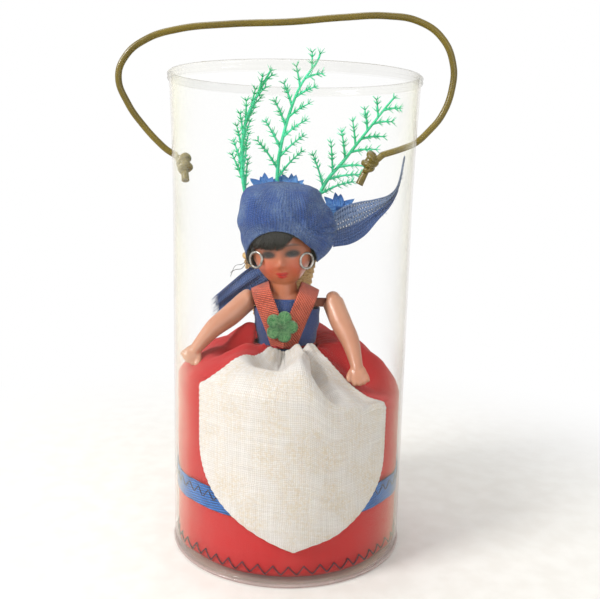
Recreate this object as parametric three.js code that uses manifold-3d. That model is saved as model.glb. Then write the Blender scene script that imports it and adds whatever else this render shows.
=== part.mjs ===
// Folk costume doll standing in a clear display tube with a cord handle, in millimetres.
// Z is up and the doll faces -Y. The origin is the middle of the tube's underside.
// Left and right are those of someone facing the doll.
import * as THREE from 'three';
import { mergeVertices } from 'three/addons/utils/BufferGeometryUtils.js';
import Module from 'manifold-3d';

// Fits
const FIT_GAP = 0.3; // between pieces that touch
const WELD = 1e-4; // points closer than this are one point
const CUTTER = 400; // blocks that cut reach past the whole object

// Display tube
const TUBE_RADIUS = 40;
const TUBE_WALL = 0.6;
const TUBE_HEIGHT = 160;
const MOUTH_FLARE = 1.1; // the wall leans out by this at the rim
const FLARE_HEIGHT = 45; // it begins to lean out this far below the rim
const FLARE_POWER = 1.5;
const FLARE_STEPS = 5;
const RIM_BEAD_HEIGHT = 3;
const RIM_BEAD_LIP = 0.5; // stands out past the wall
const BASE_FLANGE_THICKNESS = 1.2;
const BASE_FLANGE_LIP = 0.4; // stands out past the tube
const BASE_PLUG_THICKNESS = 1.8;

// Cord handle
const CORD_DIAMETER = 2.2;
const CORD_HOLE_CLEARANCE = 0.7; // round the cord in the tube wall
const LEFT_HOLE_DROP = 26.4; // below the rim
const RIGHT_HOLE_DROP = 20.8;
const KNOT_RADIUS = 2.4;
const KNOT_HALF_LENGTH = 3.5;
const KNOT_CORE_SHARE = 0.85; // of the radius, inside the two turns
const KNOT_TURN_LEAN = 20; // degrees
const KNOT_DROP = 1.4; // middle of the knot below the cord that comes in
const KNOT_TAIL_LENGTH = 5; // past the knot
const CORD_BORE = 0.9; // diameter of the cord's hollow core, seen at its cut ends
const CORD_BORE_DEPTH = 2;
// The handle, the scarf's ends and the ferns are drawn for a tube of this size and follow another one
const DRAWN_RADIUS = 40;
const DRAWN_HEIGHT = 160;
const HANDLE_ROUTE = [
  [-39.4, 0, 133.3], [-40.7, 0, 134], [-42.2, 0, 134.9], [-44.8, 0, 137.1], [-50, 0, 142.6],
  [-55.3, 0, 150], [-58.2, 0, 158.3], [-55.7, 0, 164.9], [-49, 0, 170.3], [-39, 0, 173.6],
  [-22.5, 0, 175.6], [-1.8, 0, 176.8], [14.8, 0, 178.5], [29.7, 0, 179.3], [39.8, 0, 177.8],
  [47.5, 0, 172.9], [51.6, 0, 164.8], [51.7, 0, 156.9], [48.9, 0, 148.4], [44.8, 0, 143.1],
  [40.2, 0, 138.9], [36.8, 0, 137.4], [32.8, 0, 136], [29.3, 0, 134.9],
];
const LEFT_KNOT_HANG = [0.12, -0.5, -0.86]; // way that each knot's tail points
const RIGHT_KNOT_HANG = [-0.42, 0, -0.91];

// Moulded doll body: a hollow front and back shell
const DOLL_X = -2; // middle of the torso, a little left of the tube's axis
const SHELL_WALL = 1.2;
const WAIST_HEIGHT = 65.7; // waist above the soles
const TORSO_SECTIONS = [
  { rise: -16, halfWidth: 6, halfDepth: 5.2 },
  { rise: -12, halfWidth: 8.6, halfDepth: 7 },
  { rise: -6.5, halfWidth: 9.2, halfDepth: 7.4 },
  { rise: 0, halfWidth: 8.4, halfDepth: 6.2 },
  { rise: 8, halfWidth: 9.6, halfDepth: 7 },
  { rise: 13, halfWidth: 9.8, halfDepth: 6.4 },
  { rise: 16, halfWidth: 9.2, halfDepth: 5.4 },
  { rise: 18.2, halfWidth: 7.2, halfDepth: 4.2 },
  { rise: 19.2, halfWidth: 4.4, halfDepth: 3.2 },
];
const NECK_RADIUS = 4;
const HEAD_RISE = 35; // middle of the head above the waist
const HEAD_SIDE = -1.4; // middle of the head from the middle of the torso
const HEAD_HALF_WIDTH = 10.5;
const HEAD_HALF_DEPTH = 11;
const HEAD_HALF_HEIGHT = 14.5;
const JAW_TAPER = 0.2; // how far the jaw narrows at the chin
const NOSE_DROP = 5.7; // nose below the middle of the head
const NOSE_RADII = [1.2, 1.5, 1.9];
const LEG_SPREAD = 4.4; // middle of each leg from the middle of the torso
const THIGH_RADIUS = 4.1;
const CALF_RADIUS = 3.4;
const ANKLE_RADIUS = 2.5;
const FOOT_RADII = [3.1, 6.2, 2.6];
const FOOT_FORWARD = 2.6;

// Arms strung on a flat elastic
const SHOULDER_RISE = 15.5; // arm axis above the waist
const SHOULDER_SEAT = 10.8; // inner face of the arm from the middle of the torso
const RIGHT_ARM_SLACK = 3.4; // the slack elastic lets the right arm stand off
const SHOULDER_RADIUS = 3.9;
const SHOULDER_HALF_WIDTH = 3;
const SHOULDER_DEPTH = 2.4; // inner face to the middle of the shoulder
const ARM_LENGTH = 27.6; // shoulder to the middle of the hand
const UPPER_ARM_RADIUS = 3.6;
const ELBOW_RADIUS = 3.2;
const WRIST_RADIUS = 2.3;
const ELBOW_BEND = 1.1;
// Share of the way from the shoulder to the hand, and share of the elbow's bend there
const ARM_PATH = [
  { share: 0, bend: 0 },
  { share: 0.3, bend: 0.3 },
  { share: 0.55, bend: 1 },
  { share: 0.8, bend: 0.6 },
  { share: 1, bend: 0 },
];
const HAND_RADII = [2.5, 1.5, 3.4];
const THUMB_RADII = [0.8, 0.8, 2];
const THUMB_LEAN = 23; // degrees
const RIGHT_HAND_SIDE = 8.4; // right hand outwards from its shoulder
const RIGHT_HAND_FORWARD = 15.6;
const LEFT_HAND_FROM_WALL = 6.3; // middle of the left hand from the tube's inner wall, sideways
const LEFT_HAND_FORWARD = 12.6;
const ELASTIC_HEIGHT = 3;
const ELASTIC_THICKNESS = 1;
const ELASTIC_REACH = 1.6; // into each arm
const ELASTIC_SOCKET_RADIUS = 1.9;
const ELASTIC_SOCKET_DEPTH = 2.2;

// Hair, headscarf and earrings
const SCARF_THICKNESS = 1.2;
const SCARF_SIDE = 1.4; // middle of the scarf from the middle of the head
const SCARF_RISE = 4.5;
const SCARF_HALF_WIDTH = 16.6;
const SCARF_FRONT = 13.4;
const SCARF_BACK = 15;
const SCARF_TOP = 16.6;
const SCARF_BOTTOM = 15;
const SCARF_SQUARENESS = 0.77; // below 1 flattens the crown
const SCARF_SIDE_DROP = 9; // lower edge below the middle of the scarf
const SCARF_FRONT_LIFT = 9.5;
const SCARF_FRONT_ARCH = 1.9; // higher narrows the arch over the forehead
const SCARF_BACK_DROP = 0.5;
const FRINGE_SHOWS = 5; // fringe below the scarf's front edge
const FRINGE_NARROWS = 3; // higher keeps the fringe to the forehead
const HAIR_GAP = 0.7; // hair from the scalp and from the scarf
const HAIR_TUCK = 1.6; // hair ends above the scarf's edge at the sides
const TAIL_THICKNESS = 0.8;
const RIGHT_TAIL_UPPER = [
  [16.9, 2.6, 6.6], [19.8, 3.6, 9], [25, 5, 10.5], [30.1, 6, 11.4],
  [35.4, 7, 13.2], [38.4, 8, 17.2], [39.8, 7.4, 25.6],
];
const RIGHT_TAIL_LOWER = [
  [16.9, 2.2, -3.4], [22, 3.4, -2.6], [27.1, 4.8, 0.6], [31.4, 6.4, 5.6],
  [35.7, 7.4, 9.8], [38.8, 8, 16], [40.2, 7.4, 25.2],
];
const LEFT_TAIL_UPPER = [
  [-5.5, 9.7, -11], [-9.5, 9.6, -15.6], [-14.5, 9.3, -19.4], [-19.8, 9, -22.8], [-23.7, 9, -25],
];
const LEFT_TAIL_LOWER = [
  [-0.5, 9.7, -16], [-4, 9.6, -21.4], [-11, 9.3, -25.4], [-16.2, 9, -27.7], [-22.6, 9, -32.3],
];
const EARRING_RADIUS = 2.35;
const EARRING_WIRE = 0.8;
const EARRING_TURN = 52; // degrees round the head from straight ahead
const EARRING_DROP = 4.4; // middle of the ring below the middle of the head

// Bodice, straps and flower
const BODICE_THICKNESS = 0.6;
const NECKLINE_RISE = 11.8;
const STRAP_THICKNESS = 0.5;
const STRAP_WIDTH = 6;
const STRAP_SHOULDER_X = 7.4; // middle of the strap on the shoulder, from the middle of the torso
const STRAP_VEE_RISE = -1; // where the middles of the straps would meet
const STRAP_END_RISE = 0.4;
const TIE_DIAMETER = 1;
const TIE_RISE = 1;
const FLOWER_LOBES = 5;
const FLOWER_LOBE_RADIUS = 2.5;
const FLOWER_LOBE_PLACE = 3;
const FLOWER_LOBE_ARC = 120; // degrees of each lobe's circle that show
const FLOWER_THICKNESS = 1.2;
const FLOWER_RISE = 8.4;
const FLOWER_SIDE = -0.9; // from the middle of the torso

// Skirt, its ribbon and the apron, drawn out to the tube wall
const APRON_THICKNESS = 0.5;
const RIBBON_THICKNESS = 0.4;
const SKIRT_THICKNESS = 1;
const RIBBON_HEIGHT = 21; // lower edge above the table
const RIBBON_WIDTH = 7.5;
const SKIRT_FOLDS = 11;
const SKIRT_FOLD_DEPTH = 0.7;
const SKIRT_WAIST_EASE = 1.2; // round the bodice
// Curve that the skirt follows out to the wall on each side, by degrees round from the right.
// Heights are from the waist, innerReach is from the doll's middle and outerReach from the wall.
const SKIRT_CURVES = [
  { turn: -180, inner: 2, outer: 0, wall: -10, innerReach: 16, outerReach: 2 },
  { turn: -136, inner: 4, outer: -2, wall: -10, innerReach: 16, outerReach: 3 },
  { turn: -110, inner: -12, outer: 12, wall: -8, innerReach: 18, outerReach: 0 },
  { turn: -84, inner: -9, outer: 10, wall: -9, innerReach: 18, outerReach: 0 },
  { turn: -66, inner: -9, outer: -3, wall: -15, innerReach: 18, outerReach: 0.6 },
  { turn: -44, inner: -2, outer: -12, wall: -13, innerReach: 17, outerReach: 4 },
  { turn: -22, inner: -3, outer: -11, wall: -15, innerReach: 17, outerReach: 4 },
  { turn: 0, inner: 5, outer: -1, wall: -15, innerReach: 16, outerReach: 2.6 },
  { turn: 90, inner: 9.5, outer: 6, wall: -11, innerReach: 14, outerReach: 4.6 },
  { turn: 180, inner: 2, outer: 0, wall: -10, innerReach: 16, outerReach: 2 },
];
const HAND_STAND = 5; // middle of a hand above the skirt that it rests on
const HAND_DENT_SPREAD = 7; // of the dent that a hand presses into the skirt
const APRON_TURN = 4; // degrees that the apron's middle is to the right of straight ahead
const APRON_HALF_TURN = 50.5; // degrees to each edge on the wall
const APRON_GATHER_HALF_TURN = 46;
const APRON_GATHER_START = 0.02; // share of the way from the waist to the wall
const APRON_SPREAD_START = 0.75; // share where the folds begin to open out
const APRON_POINT_HEIGHT = 11.5; // lowest point above the table
const APRON_TIP_HALF_TURN = 0.5; // degrees, so that the point is blunt
const APRON_CURVE_RISE = 33.5; // the edges run in from this far above the point
const APRON_CURVE = 2.6;
// How far the apron stands off the skirt at each fold, from its left edge at -1 to its right edge at 1
const APRON_FOLDS = [
  { across: -1, lift: 0 },
  { across: -0.5, lift: 2.4 },
  { across: -0.24, lift: 0.4 },
  { across: 0.04, lift: 4.8 },
  { across: 0.28, lift: 0.2 },
  { across: 0.56, lift: 2.2 },
  { across: 1, lift: 0 },
];
const APRON_FOLD_PEAK = 0.22; // share of the way to the wall where the folds are highest

// Back basket with its ferns and paper flowers
const BASKET_X = -2.5; // from the middle of the torso
const BASKET_FRONT = 10.6; // front of its mouth behind the middle of the torso
const BASKET_FROM_WALL = 1.6; // back of its mouth from the tube's inner wall
const BASKET_HEIGHT = 23;
const BASKET_TAPER = 0.7; // base as a share of the mouth
const BASKET_WALL = 0.9;
const FERN_STEM_RADIUS = 0.85;
const FERN_TIP_RADIUS = 0.3;
const FERN_BRANCH_RADIUS = 0.45;
const FERN_BARE_SHARE = 0.5; // share of the stem with no branches
const FERN_LAST_SHARE = 0.96; // where the last branch leaves the stem
const FERN_BRANCH_TAPER = 0.62; // how much shorter the last branch is
// Stem points from the middle of the basket's floor
const FERNS = [
  {
    name: 'fern_left', branches: 12, branchLength: 6.5, branchTurn: 24,
    stem: [[-4.5, -2, 0], [-8.5, -3.2, 23.5], [-13.4, -5.2, 46.8], [-14.2, -6.2, 59.2],
      [-12.8, -8.2, 69.6], [-9, -10.2, 78], [-4.3, -11.2, 86.5]],
  },
  {
    name: 'fern_middle', branches: 12, branchLength: 13, branchTurn: 40,
    stem: [[-0.5, -2, 0], [-1.5, -3.6, 23.5], [-1.5, -5.2, 48.2], [-0.6, -6.2, 59.6],
      [2.3, -8.2, 71.7], [6.2, -10.2, 81.9], [11.5, -12.2, 89.4], [12.7, -13.2, 92.3]],
  },
  {
    name: 'fern_right', branches: 13, branchLength: 13, branchTurn: 46,
    stem: [[4, -2, 0], [8.5, -3.4, 23.5], [14.5, -6.2, 45.8], [22.3, -7.2, 56.7],
      [28.9, -9.2, 65.6], [35.3, -11.2, 74.2], [38.5, -12.2, 78.3]],
  },
];
const PAPER_PETALS = 8;
const PAPER_FLOWER_RADIUS = 6.4;
const PAPER_FLOWER_HEART = 2.6;
const PAPER_THICKNESS = 0.6;
const PAPER_STEM_RADIUS = 0.5;
const PAPER_FLOWER_LEAN = 40; // degrees that the flowers face up from straight ahead
// Stalk points from the middle of the basket's floor; the flower sits on the last one
const PAPER_FLOWERS = [
  { name: 'paper_flower_left', stalk: [[-6.5, 2, 0], [-6.8, 0, 23.5], [-8, -7, 46.6]] },
  { name: 'paper_flower_middle', stalk: [[2, 1.5, 0], [3.6, 0.6, 23.5], [7.6, -5.6, 47]] },
  { name: 'paper_flower_right', stalk: [[6, 1.5, 0], [9, 0, 23.5], [20.6, -7, 41]] },
];

// Smoothness
const TUBE_SIDES = 48;
const BODY_SIDES = 16;
const CORD_SIDES = 8;
const CORD_STEPS = 54;
const SKIRT_SIDES_ROUND = 60;
const SKIRT_STEPS = 7;
const APRON_COLUMNS = 24;
const APRON_DROP_STEPS = 7;
const SCARF_GRID = [28, 7]; // sides round and steps down
const HAIR_GRID = [24, 6];
const CROWN_SPACING = 0.78; // below 1 sets the crown's rows closer to its edge
const TAIL_GRID = [10, 4]; // steps along and across

// Places that follow from the sizes above
const TUBE_INNER = TUBE_RADIUS - TUBE_WALL;
const FLARE_START = TUBE_HEIGHT - FLARE_HEIGHT;
const BASE_TOP = BASE_FLANGE_THICKNESS + BASE_PLUG_THICKNESS;
const FLOOR_Z = BASE_TOP + FIT_GAP;
const WAIST_Z = FLOOR_Z + WAIST_HEIGHT;
const SHOULDER_Z = WAIST_Z + SHOULDER_RISE;
const HEAD = new THREE.Vector3(DOLL_X + HEAD_SIDE, 0, WAIST_Z + HEAD_RISE);
const SCARF = new THREE.Vector3(HEAD.x + SCARF_SIDE, 0, HEAD.z + SCARF_RISE);
const APRON_OUTER = TUBE_INNER - FIT_GAP;
const RIBBON_OUTER = APRON_OUTER - APRON_THICKNESS - FIT_GAP;
const SKIRT_RADIUS = RIBBON_OUTER - RIBBON_THICKNESS - FIT_GAP;
const BODICE_OFFSET = FIT_GAP + BODICE_THICKNESS;
const STRAP_OFFSET = BODICE_OFFSET + FIT_GAP + STRAP_THICKNESS;
const BASKET_MOUTH_RADIUS = (TUBE_INNER - BASKET_FROM_WALL - BASKET_FRONT) / 2;
const BASKET_BASE_RADIUS = BASKET_MOUTH_RADIUS * BASKET_TAPER;
const BASKET_Y = BASKET_FRONT + BASKET_MOUTH_RADIUS;

const wasm = await Module();
wasm.setup();

const model = new THREE.Group();

// Closed meshes

/** Joins equal points, drops empty triangles and turns every face outwards. */
function closed(geometry) {
  const bare = geometry.clone();
  bare.deleteAttribute('normal');
  bare.deleteAttribute('uv');
  const merged = mergeVertices(bare, WELD);
  const points = merged.attributes.position;
  const kept = [];
  let volume = 0;
  const corners = [new THREE.Vector3(), new THREE.Vector3(), new THREE.Vector3()];
  for (let i = 0; i < merged.index.count; i += 3) {
    const face = [0, 1, 2].map((k) => merged.index.getX(i + k));
    if (new Set(face).size < 3) continue;
    kept.push(face);
    face.forEach((index, k) => corners[k].fromBufferAttribute(points, index));
    volume += corners[0].dot(corners[1].cross(corners[2]));
  }
  merged.setIndex(kept.flatMap((face) => (volume < 0 ? [face[0], face[2], face[1]] : face)));
  merged.computeVertexNormals();
  return merged;
}

function fromTriangles(points, faces) {
  const geometry = new THREE.BufferGeometry();
  const numbers = points.flatMap((point) => point.toArray());
  geometry.setAttribute('position', new THREE.Float32BufferAttribute(numbers, 3));
  geometry.setIndex(faces.flat());
  return closed(geometry);
}

function toSolid(geometry) {
  const mesh = closed(geometry);
  return new wasm.Manifold(new wasm.Mesh({
    numProp: 3,
    vertProperties: new Float32Array(mesh.attributes.position.array),
    triVerts: new Uint32Array(mesh.index.array),
  }));
}

function toGeometry(solid) {
  const mesh = solid.getMesh();
  const geometry = new THREE.BufferGeometry();
  geometry.setAttribute('position', new THREE.Float32BufferAttribute(mesh.vertProperties, 3));
  geometry.setIndex(Array.from(mesh.triVerts));
  return closed(geometry);
}

function joined(solids) {
  return solids.reduce((sum, solid) => sum.add(solid));
}

/** Skin over a row of closed rings with as many points each; the ends are capped. */
function loft(rings, isLoop = false) {
  const count = rings[0].length;
  const points = rings.flat();
  const faces = [];
  const last = isLoop ? rings.length : rings.length - 1;
  for (let i = 0; i < last; i += 1) {
    for (let j = 0; j < count; j += 1) {
      const a = i * count + j;
      const b = i * count + ((j + 1) % count);
      const c = ((i + 1) % rings.length) * count + j;
      const d = ((i + 1) % rings.length) * count + ((j + 1) % count);
      faces.push([a, b, d], [a, d, c]);
    }
  }
  if (!isLoop) {
    for (const [ring, isFirst] of [[0, true], [rings.length - 1, false]]) {
      const middle = rings[ring].reduce((sum, p) => sum.add(p), new THREE.Vector3()).divideScalar(count);
      points.push(middle);
      for (let j = 0; j < count; j += 1) {
        const a = ring * count + j;
        const b = ring * count + ((j + 1) % count);
        faces.push(isFirst ? [b, a, points.length - 1] : [a, b, points.length - 1]);
      }
    }
  }
  return fromTriangles(points, faces);
}

/** Closed sheet between an outer and an inner grid of points, rows by columns. */
function sheet(outer, inner, isRound = false) {
  const rows = outer.length;
  const columns = outer[0].length;
  const points = [...outer.flat(), ...inner.flat()];
  const innerStart = rows * columns;
  const faces = [];
  const quad = (a, b, c, d) => faces.push([a, b, c], [a, c, d]);
  const lastColumn = isRound ? columns : columns - 1;
  for (let i = 0; i < rows - 1; i += 1) {
    for (let j = 0; j < lastColumn; j += 1) {
      const a = i * columns + j;
      const b = i * columns + ((j + 1) % columns);
      const c = b + columns;
      const d = a + columns;
      quad(a, b, c, d);
      quad(innerStart + d, innerStart + c, innerStart + b, innerStart + a);
    }
  }
  for (let j = 0; j < lastColumn; j += 1) {
    const next = (j + 1) % columns;
    const foot = (rows - 1) * columns;
    quad(next, j, innerStart + j, innerStart + next);
    quad(foot + j, foot + next, innerStart + foot + next, innerStart + foot + j);
  }
  if (!isRound) {
    for (let i = 0; i < rows - 1; i += 1) {
      const left = i * columns;
      const right = left + columns - 1;
      quad(left, left + columns, innerStart + left + columns, innerStart + left);
      quad(right + columns, right, innerStart + right, innerStart + right + columns);
    }
  }
  return fromTriangles(points, faces);
}

/** Tube that tapers along a smooth curve through the points. */
function taperedTube(points, radii, sides, steps) {
  const curve = new THREE.CatmullRomCurve3(points);
  const frames = curve.computeFrenetFrames(steps, false);
  const rings = [];
  for (let i = 0; i <= steps; i += 1) {
    const along = (i / steps) * (radii.length - 1);
    const low = Math.min(Math.floor(along), radii.length - 2);
    const radius = THREE.MathUtils.lerp(radii[low], radii[low + 1], along - low);
    const middle = curve.getPointAt(i / steps);
    rings.push(Array.from({ length: sides }, (_, j) => {
      const turn = (2 * Math.PI * j) / sides;
      return middle.clone()
        .addScaledVector(frames.normals[i], radius * Math.cos(turn))
        .addScaledVector(frames.binormals[i], radius * Math.sin(turn));
    }));
  }
  return loft(rings);
}

function ellipsoid(radii, middle, sides = 16, rings = 10) {
  const geometry = new THREE.SphereGeometry(1, sides, rings).rotateX(Math.PI / 2);
  return geometry.scale(...radii).translate(...middle);
}

function ellipse(middle, halfWidth, halfDepth, sides) {
  return Array.from({ length: sides }, (_, j) => {
    const turn = (2 * Math.PI * j) / sides;
    return new THREE.Vector3(
      middle.x + halfWidth * Math.cos(turn),
      middle.y + halfDepth * Math.sin(turn),
      middle.z,
    );
  });
}

function lathe(profile, sides = TUBE_SIDES) {
  const outline = profile.map(([radius, height]) => new THREE.Vector2(radius, height));
  return new THREE.LatheGeometry(outline, sides).rotateX(Math.PI / 2);
}

function block(low, high) {
  const size = high.map((value, k) => value - low[k]);
  const middle = high.map((value, k) => (value + low[k]) / 2);
  return new THREE.BoxGeometry(...size).translate(...middle);
}

function vector([x, y, z]) {
  return new THREE.Vector3(x, y, z);
}

/** Sideways place as drawn, brought to this tube's radius; up to a distance from the axis it is kept. */
function toTube(x, kept) {
  const share = Math.max(0, Math.abs(x) - kept) / (DRAWN_RADIUS - kept);
  return x + Math.sign(x) * share * (TUBE_RADIUS - DRAWN_RADIUS);
}

function smooth(low, high, value) {
  return THREE.MathUtils.smoothstep(value, low, high);
}

function add(name, geometry, color, roughness, metalness = 0) {
  const material = new THREE.MeshStandardMaterial({ color, roughness, metalness });
  const mesh = new THREE.Mesh(closed(geometry), material);
  mesh.name = name;
  model.add(mesh);
}

// Display tube and its handle

/** Inside radius of the tube at a height; its mouth is flared. */
function tubeInner(height) {
  const share = Math.max(0, height - FLARE_START) / (TUBE_HEIGHT - FLARE_START);
  return TUBE_INNER + MOUTH_FLARE * share ** FLARE_POWER;
}

function cordHole(side, height) {
  const radius = CORD_DIAMETER / 2 + CORD_HOLE_CLEARANCE;
  const drill = new THREE.CylinderGeometry(radius, radius, 8 * TUBE_WALL, 16).rotateZ(Math.PI / 2);
  return toSolid(drill.translate(side * (tubeInner(height) + TUBE_WALL / 2), 0, height));
}

function addTube() {
  const foot = BASE_FLANGE_THICKNESS + FIT_GAP;
  const beadFoot = TUBE_HEIGHT - RIM_BEAD_HEIGHT;
  const beadOuter = tubeInner(TUBE_HEIGHT) + TUBE_WALL + RIM_BEAD_LIP;
  const flare = Array.from({ length: FLARE_STEPS + 1 }, (_, i) => (
    THREE.MathUtils.lerp(FLARE_START, beadFoot - FIT_GAP, i / FLARE_STEPS)
  ));
  const inside = [...flare, TUBE_HEIGHT].reverse();
  const wall = toSolid(lathe([
    [TUBE_INNER, foot],
    [TUBE_RADIUS, foot],
    ...flare.map((height) => [tubeInner(height) + TUBE_WALL, height]),
    [beadOuter, beadFoot],
    [beadOuter, TUBE_HEIGHT - FIT_GAP],
    [beadOuter - FIT_GAP, TUBE_HEIGHT],
    ...inside.map((height) => [tubeInner(height), height]),
    [TUBE_INNER, foot],
  ]));
  const drilled = wall
    .subtract(cordHole(-1, TUBE_HEIGHT - LEFT_HOLE_DROP))
    .subtract(cordHole(1, TUBE_HEIGHT - RIGHT_HOLE_DROP));
  add('clear_tube', toGeometry(drilled), 0xeeeeea, 0.08);
  const flange = TUBE_RADIUS + BASE_FLANGE_LIP;
  const plug = TUBE_INNER - FIT_GAP;
  add('tube_base', lathe([
    [0, 0],
    [flange, 0],
    [flange, BASE_FLANGE_THICKNESS],
    [plug, BASE_FLANGE_THICKNESS],
    [plug, BASE_TOP],
    [0, BASE_TOP],
  ]), 0xe6e2de, 0.1);
}

/** Overhand knot in the cord's end: a core with two turns round it and the cut tail, which is hollow. */
function addKnot(name, cordEnd, beforeEnd, hang) {
  const inward = cordEnd.clone().sub(beforeEnd).normalize();
  const down = new THREE.Vector3(0, 0, -1);
  const way = vector(hang).normalize();
  const middle = cordEnd.clone()
    .addScaledVector(inward, KNOT_RADIUS + FIT_GAP)
    .addScaledVector(way, KNOT_DROP);
  const radius = CORD_DIAMETER / 2;
  const coreRadius = KNOT_RADIUS * KNOT_CORE_SHARE;
  const core = ellipsoid([coreRadius, coreRadius, KNOT_HALF_LENGTH], [0, 0, 0], CORD_SIDES, 6);
  const lean = THREE.MathUtils.degToRad(KNOT_TURN_LEAN);
  const turns = [-1, 1].map((side) => (
    new THREE.TorusGeometry(KNOT_RADIUS - radius, radius, 6, 10)
      .rotateX(side * lean)
      .translate(0, 0, side * radius)
  ));
  const tailEnd = KNOT_HALF_LENGTH + KNOT_TAIL_LENGTH;
  const rod = (size, from, to) => new THREE.CylinderGeometry(size, size, to - from, CORD_SIDES)
    .rotateX(Math.PI / 2).translate(0, 0, -(from + to) / 2);
  const tail = rod(radius, 0, tailEnd);
  const bore = rod(CORD_BORE / 2, tailEnd - CORD_BORE_DEPTH, tailEnd + CORD_BORE_DEPTH);
  const knot = joined([core, ...turns, tail].map(toSolid)).subtract(toSolid(bore));
  const placed = toGeometry(knot).applyQuaternion(new THREE.Quaternion().setFromUnitVectors(down, way));
  add(name, placed.translate(middle.x, middle.y, middle.z), 0x8a7434, 0.4);
}

function addHandle() {
  const route = HANDLE_ROUTE.map(([x, y, z]) => (
    new THREE.Vector3(toTube(x, 0), y, z + TUBE_HEIGHT - DRAWN_HEIGHT)
  ));
  const curve = new THREE.CatmullRomCurve3(route);
  const section = new THREE.Shape(Array.from({ length: CORD_SIDES }, (_, j) => {
    const turn = (2 * Math.PI * j) / CORD_SIDES;
    return new THREE.Vector2(Math.cos(turn), Math.sin(turn)).multiplyScalar(CORD_DIAMETER / 2);
  }));
  const cord = new THREE.ExtrudeGeometry(section, { steps: CORD_STEPS, extrudePath: curve });
  add('handle_cord', cord, 0x8a7434, 0.4);
  addKnot('handle_knot_left', route[0], route[1], LEFT_KNOT_HANG);
  addKnot('handle_knot_right', route.at(-1), route.at(-2), RIGHT_KNOT_HANG);
}

// Doll body

/** Torso grown by an offset, or shrunk by a negative one. */
function torso(offset) {
  const last = TORSO_SECTIONS.length - 1;
  const rings = TORSO_SECTIONS.map(({ rise, halfWidth, halfDepth }, i) => {
    const lift = i === last ? offset : i === 0 ? -offset : 0;
    const middle = new THREE.Vector3(DOLL_X, 0, WAIST_Z + rise + lift);
    return ellipse(middle, halfWidth + offset, halfDepth + offset, BODY_SIDES);
  });
  return toSolid(loft(rings));
}

/** Half width and half depth of the torso at a rise above the waist. */
function torsoSection(rise) {
  const next = TORSO_SECTIONS.findIndex((section) => section.rise >= rise);
  const [low, high] = [TORSO_SECTIONS[next - 1], TORSO_SECTIONS[next]];
  const share = (rise - low.rise) / (high.rise - low.rise);
  return [
    THREE.MathUtils.lerp(low.halfWidth, high.halfWidth, share),
    THREE.MathUtils.lerp(low.halfDepth, high.halfDepth, share),
  ];
}

function head(offset) {
  const geometry = new THREE.SphereGeometry(1, BODY_SIDES, 10).rotateX(Math.PI / 2);
  const points = geometry.attributes.position;
  for (let i = 0; i < points.count; i += 1) {
    const depth = Math.max(0, -points.getZ(i));
    const narrow = 1 - JAW_TAPER * depth ** 2;
    points.setXY(i, points.getX(i) * narrow, points.getY(i) * narrow);
  }
  geometry.scale(HEAD_HALF_WIDTH + offset, HEAD_HALF_DEPTH + offset, HEAD_HALF_HEIGHT + offset);
  return toSolid(geometry.translate(HEAD.x, HEAD.y, HEAD.z));
}

function neck(offset) {
  const radius = NECK_RADIUS + offset;
  const low = new THREE.Vector3(DOLL_X, 0, SHOULDER_Z);
  const high = new THREE.Vector3(HEAD.x, 0, HEAD.z - HEAD_HALF_HEIGHT / 2);
  return toSolid(loft([low, high].map((middle) => ellipse(middle, radius, radius, 10))));
}

function leg(side, offset) {
  const x = DOLL_X + side * LEG_SPREAD;
  const hip = WAIST_Z + TORSO_SECTIONS[1].rise;
  const ankle = FLOOR_Z + FOOT_RADII[2];
  const knee = (hip + ankle) / 2;
  const calf = (knee + ankle) / 2;
  const rings = [[ankle, ANKLE_RADIUS], [calf, CALF_RADIUS], [knee, CALF_RADIUS], [hip, THIGH_RADIUS]]
    .map(([z, radius]) => ellipse(new THREE.Vector3(x, 0, z), radius + offset, radius + offset, 8));
  const foot = ellipsoid(FOOT_RADII.map((radius) => radius + offset), [x, -FOOT_FORWARD, ankle], 8, 6);
  return toSolid(loft(rings)).add(toSolid(foot));
}

function bodyForm(offset) {
  return joined([torso(offset), head(offset), neck(offset), leg(-1, offset), leg(1, offset)]);
}

/** Way through the shoulders for the elastic. */
function elasticSlot() {
  const half = [ELASTIC_THICKNESS, ELASTIC_HEIGHT].map((size) => size / 2 + FIT_GAP);
  return toSolid(block(
    [-CUTTER, -half[0], SHOULDER_Z - half[1]],
    [CUTTER, half[0], SHOULDER_Z + half[1]],
  ));
}

function addBody() {
  const noseMiddle = [HEAD.x, -HEAD_HALF_DEPTH, HEAD.z - NOSE_DROP];
  const moulding = bodyForm(0).add(toSolid(ellipsoid(NOSE_RADII, noseMiddle, 8, 6)));
  const hollow = moulding.subtract(bodyForm(-SHELL_WALL)).subtract(elasticSlot());
  for (const [name, side] of [['body_front_shell', 1], ['body_back_shell', -1]]) {
    const cut = [side * CUTTER, -side * FIT_GAP / 2].sort((a, b) => a - b);
    const half = hollow.subtract(toSolid(block([-CUTTER, cut[0], -CUTTER], [CUTTER, cut[1], CUTTER])));
    add(name, toGeometry(half), 0xd9a07c, 0.42);
  }
}

function handPlace(side) {
  const shoulderX = shoulder(side).x;
  const leftReach = TUBE_INNER - LEFT_HAND_FROM_WALL + shoulderX;
  const sideways = side > 0 ? RIGHT_HAND_SIDE : leftReach;
  const forward = side > 0 ? RIGHT_HAND_FORWARD : LEFT_HAND_FORWARD;
  const drop = Math.sqrt(ARM_LENGTH ** 2 - sideways ** 2 - forward ** 2);
  return new THREE.Vector3(shoulderX + side * sideways, -forward, SHOULDER_Z - drop);
}

function armFace(side) {
  return DOLL_X + side * SHOULDER_SEAT + (side > 0 ? RIGHT_ARM_SLACK : 0);
}

function shoulder(side) {
  return new THREE.Vector3(armFace(side) + side * SHOULDER_DEPTH, 0, SHOULDER_Z);
}

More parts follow.
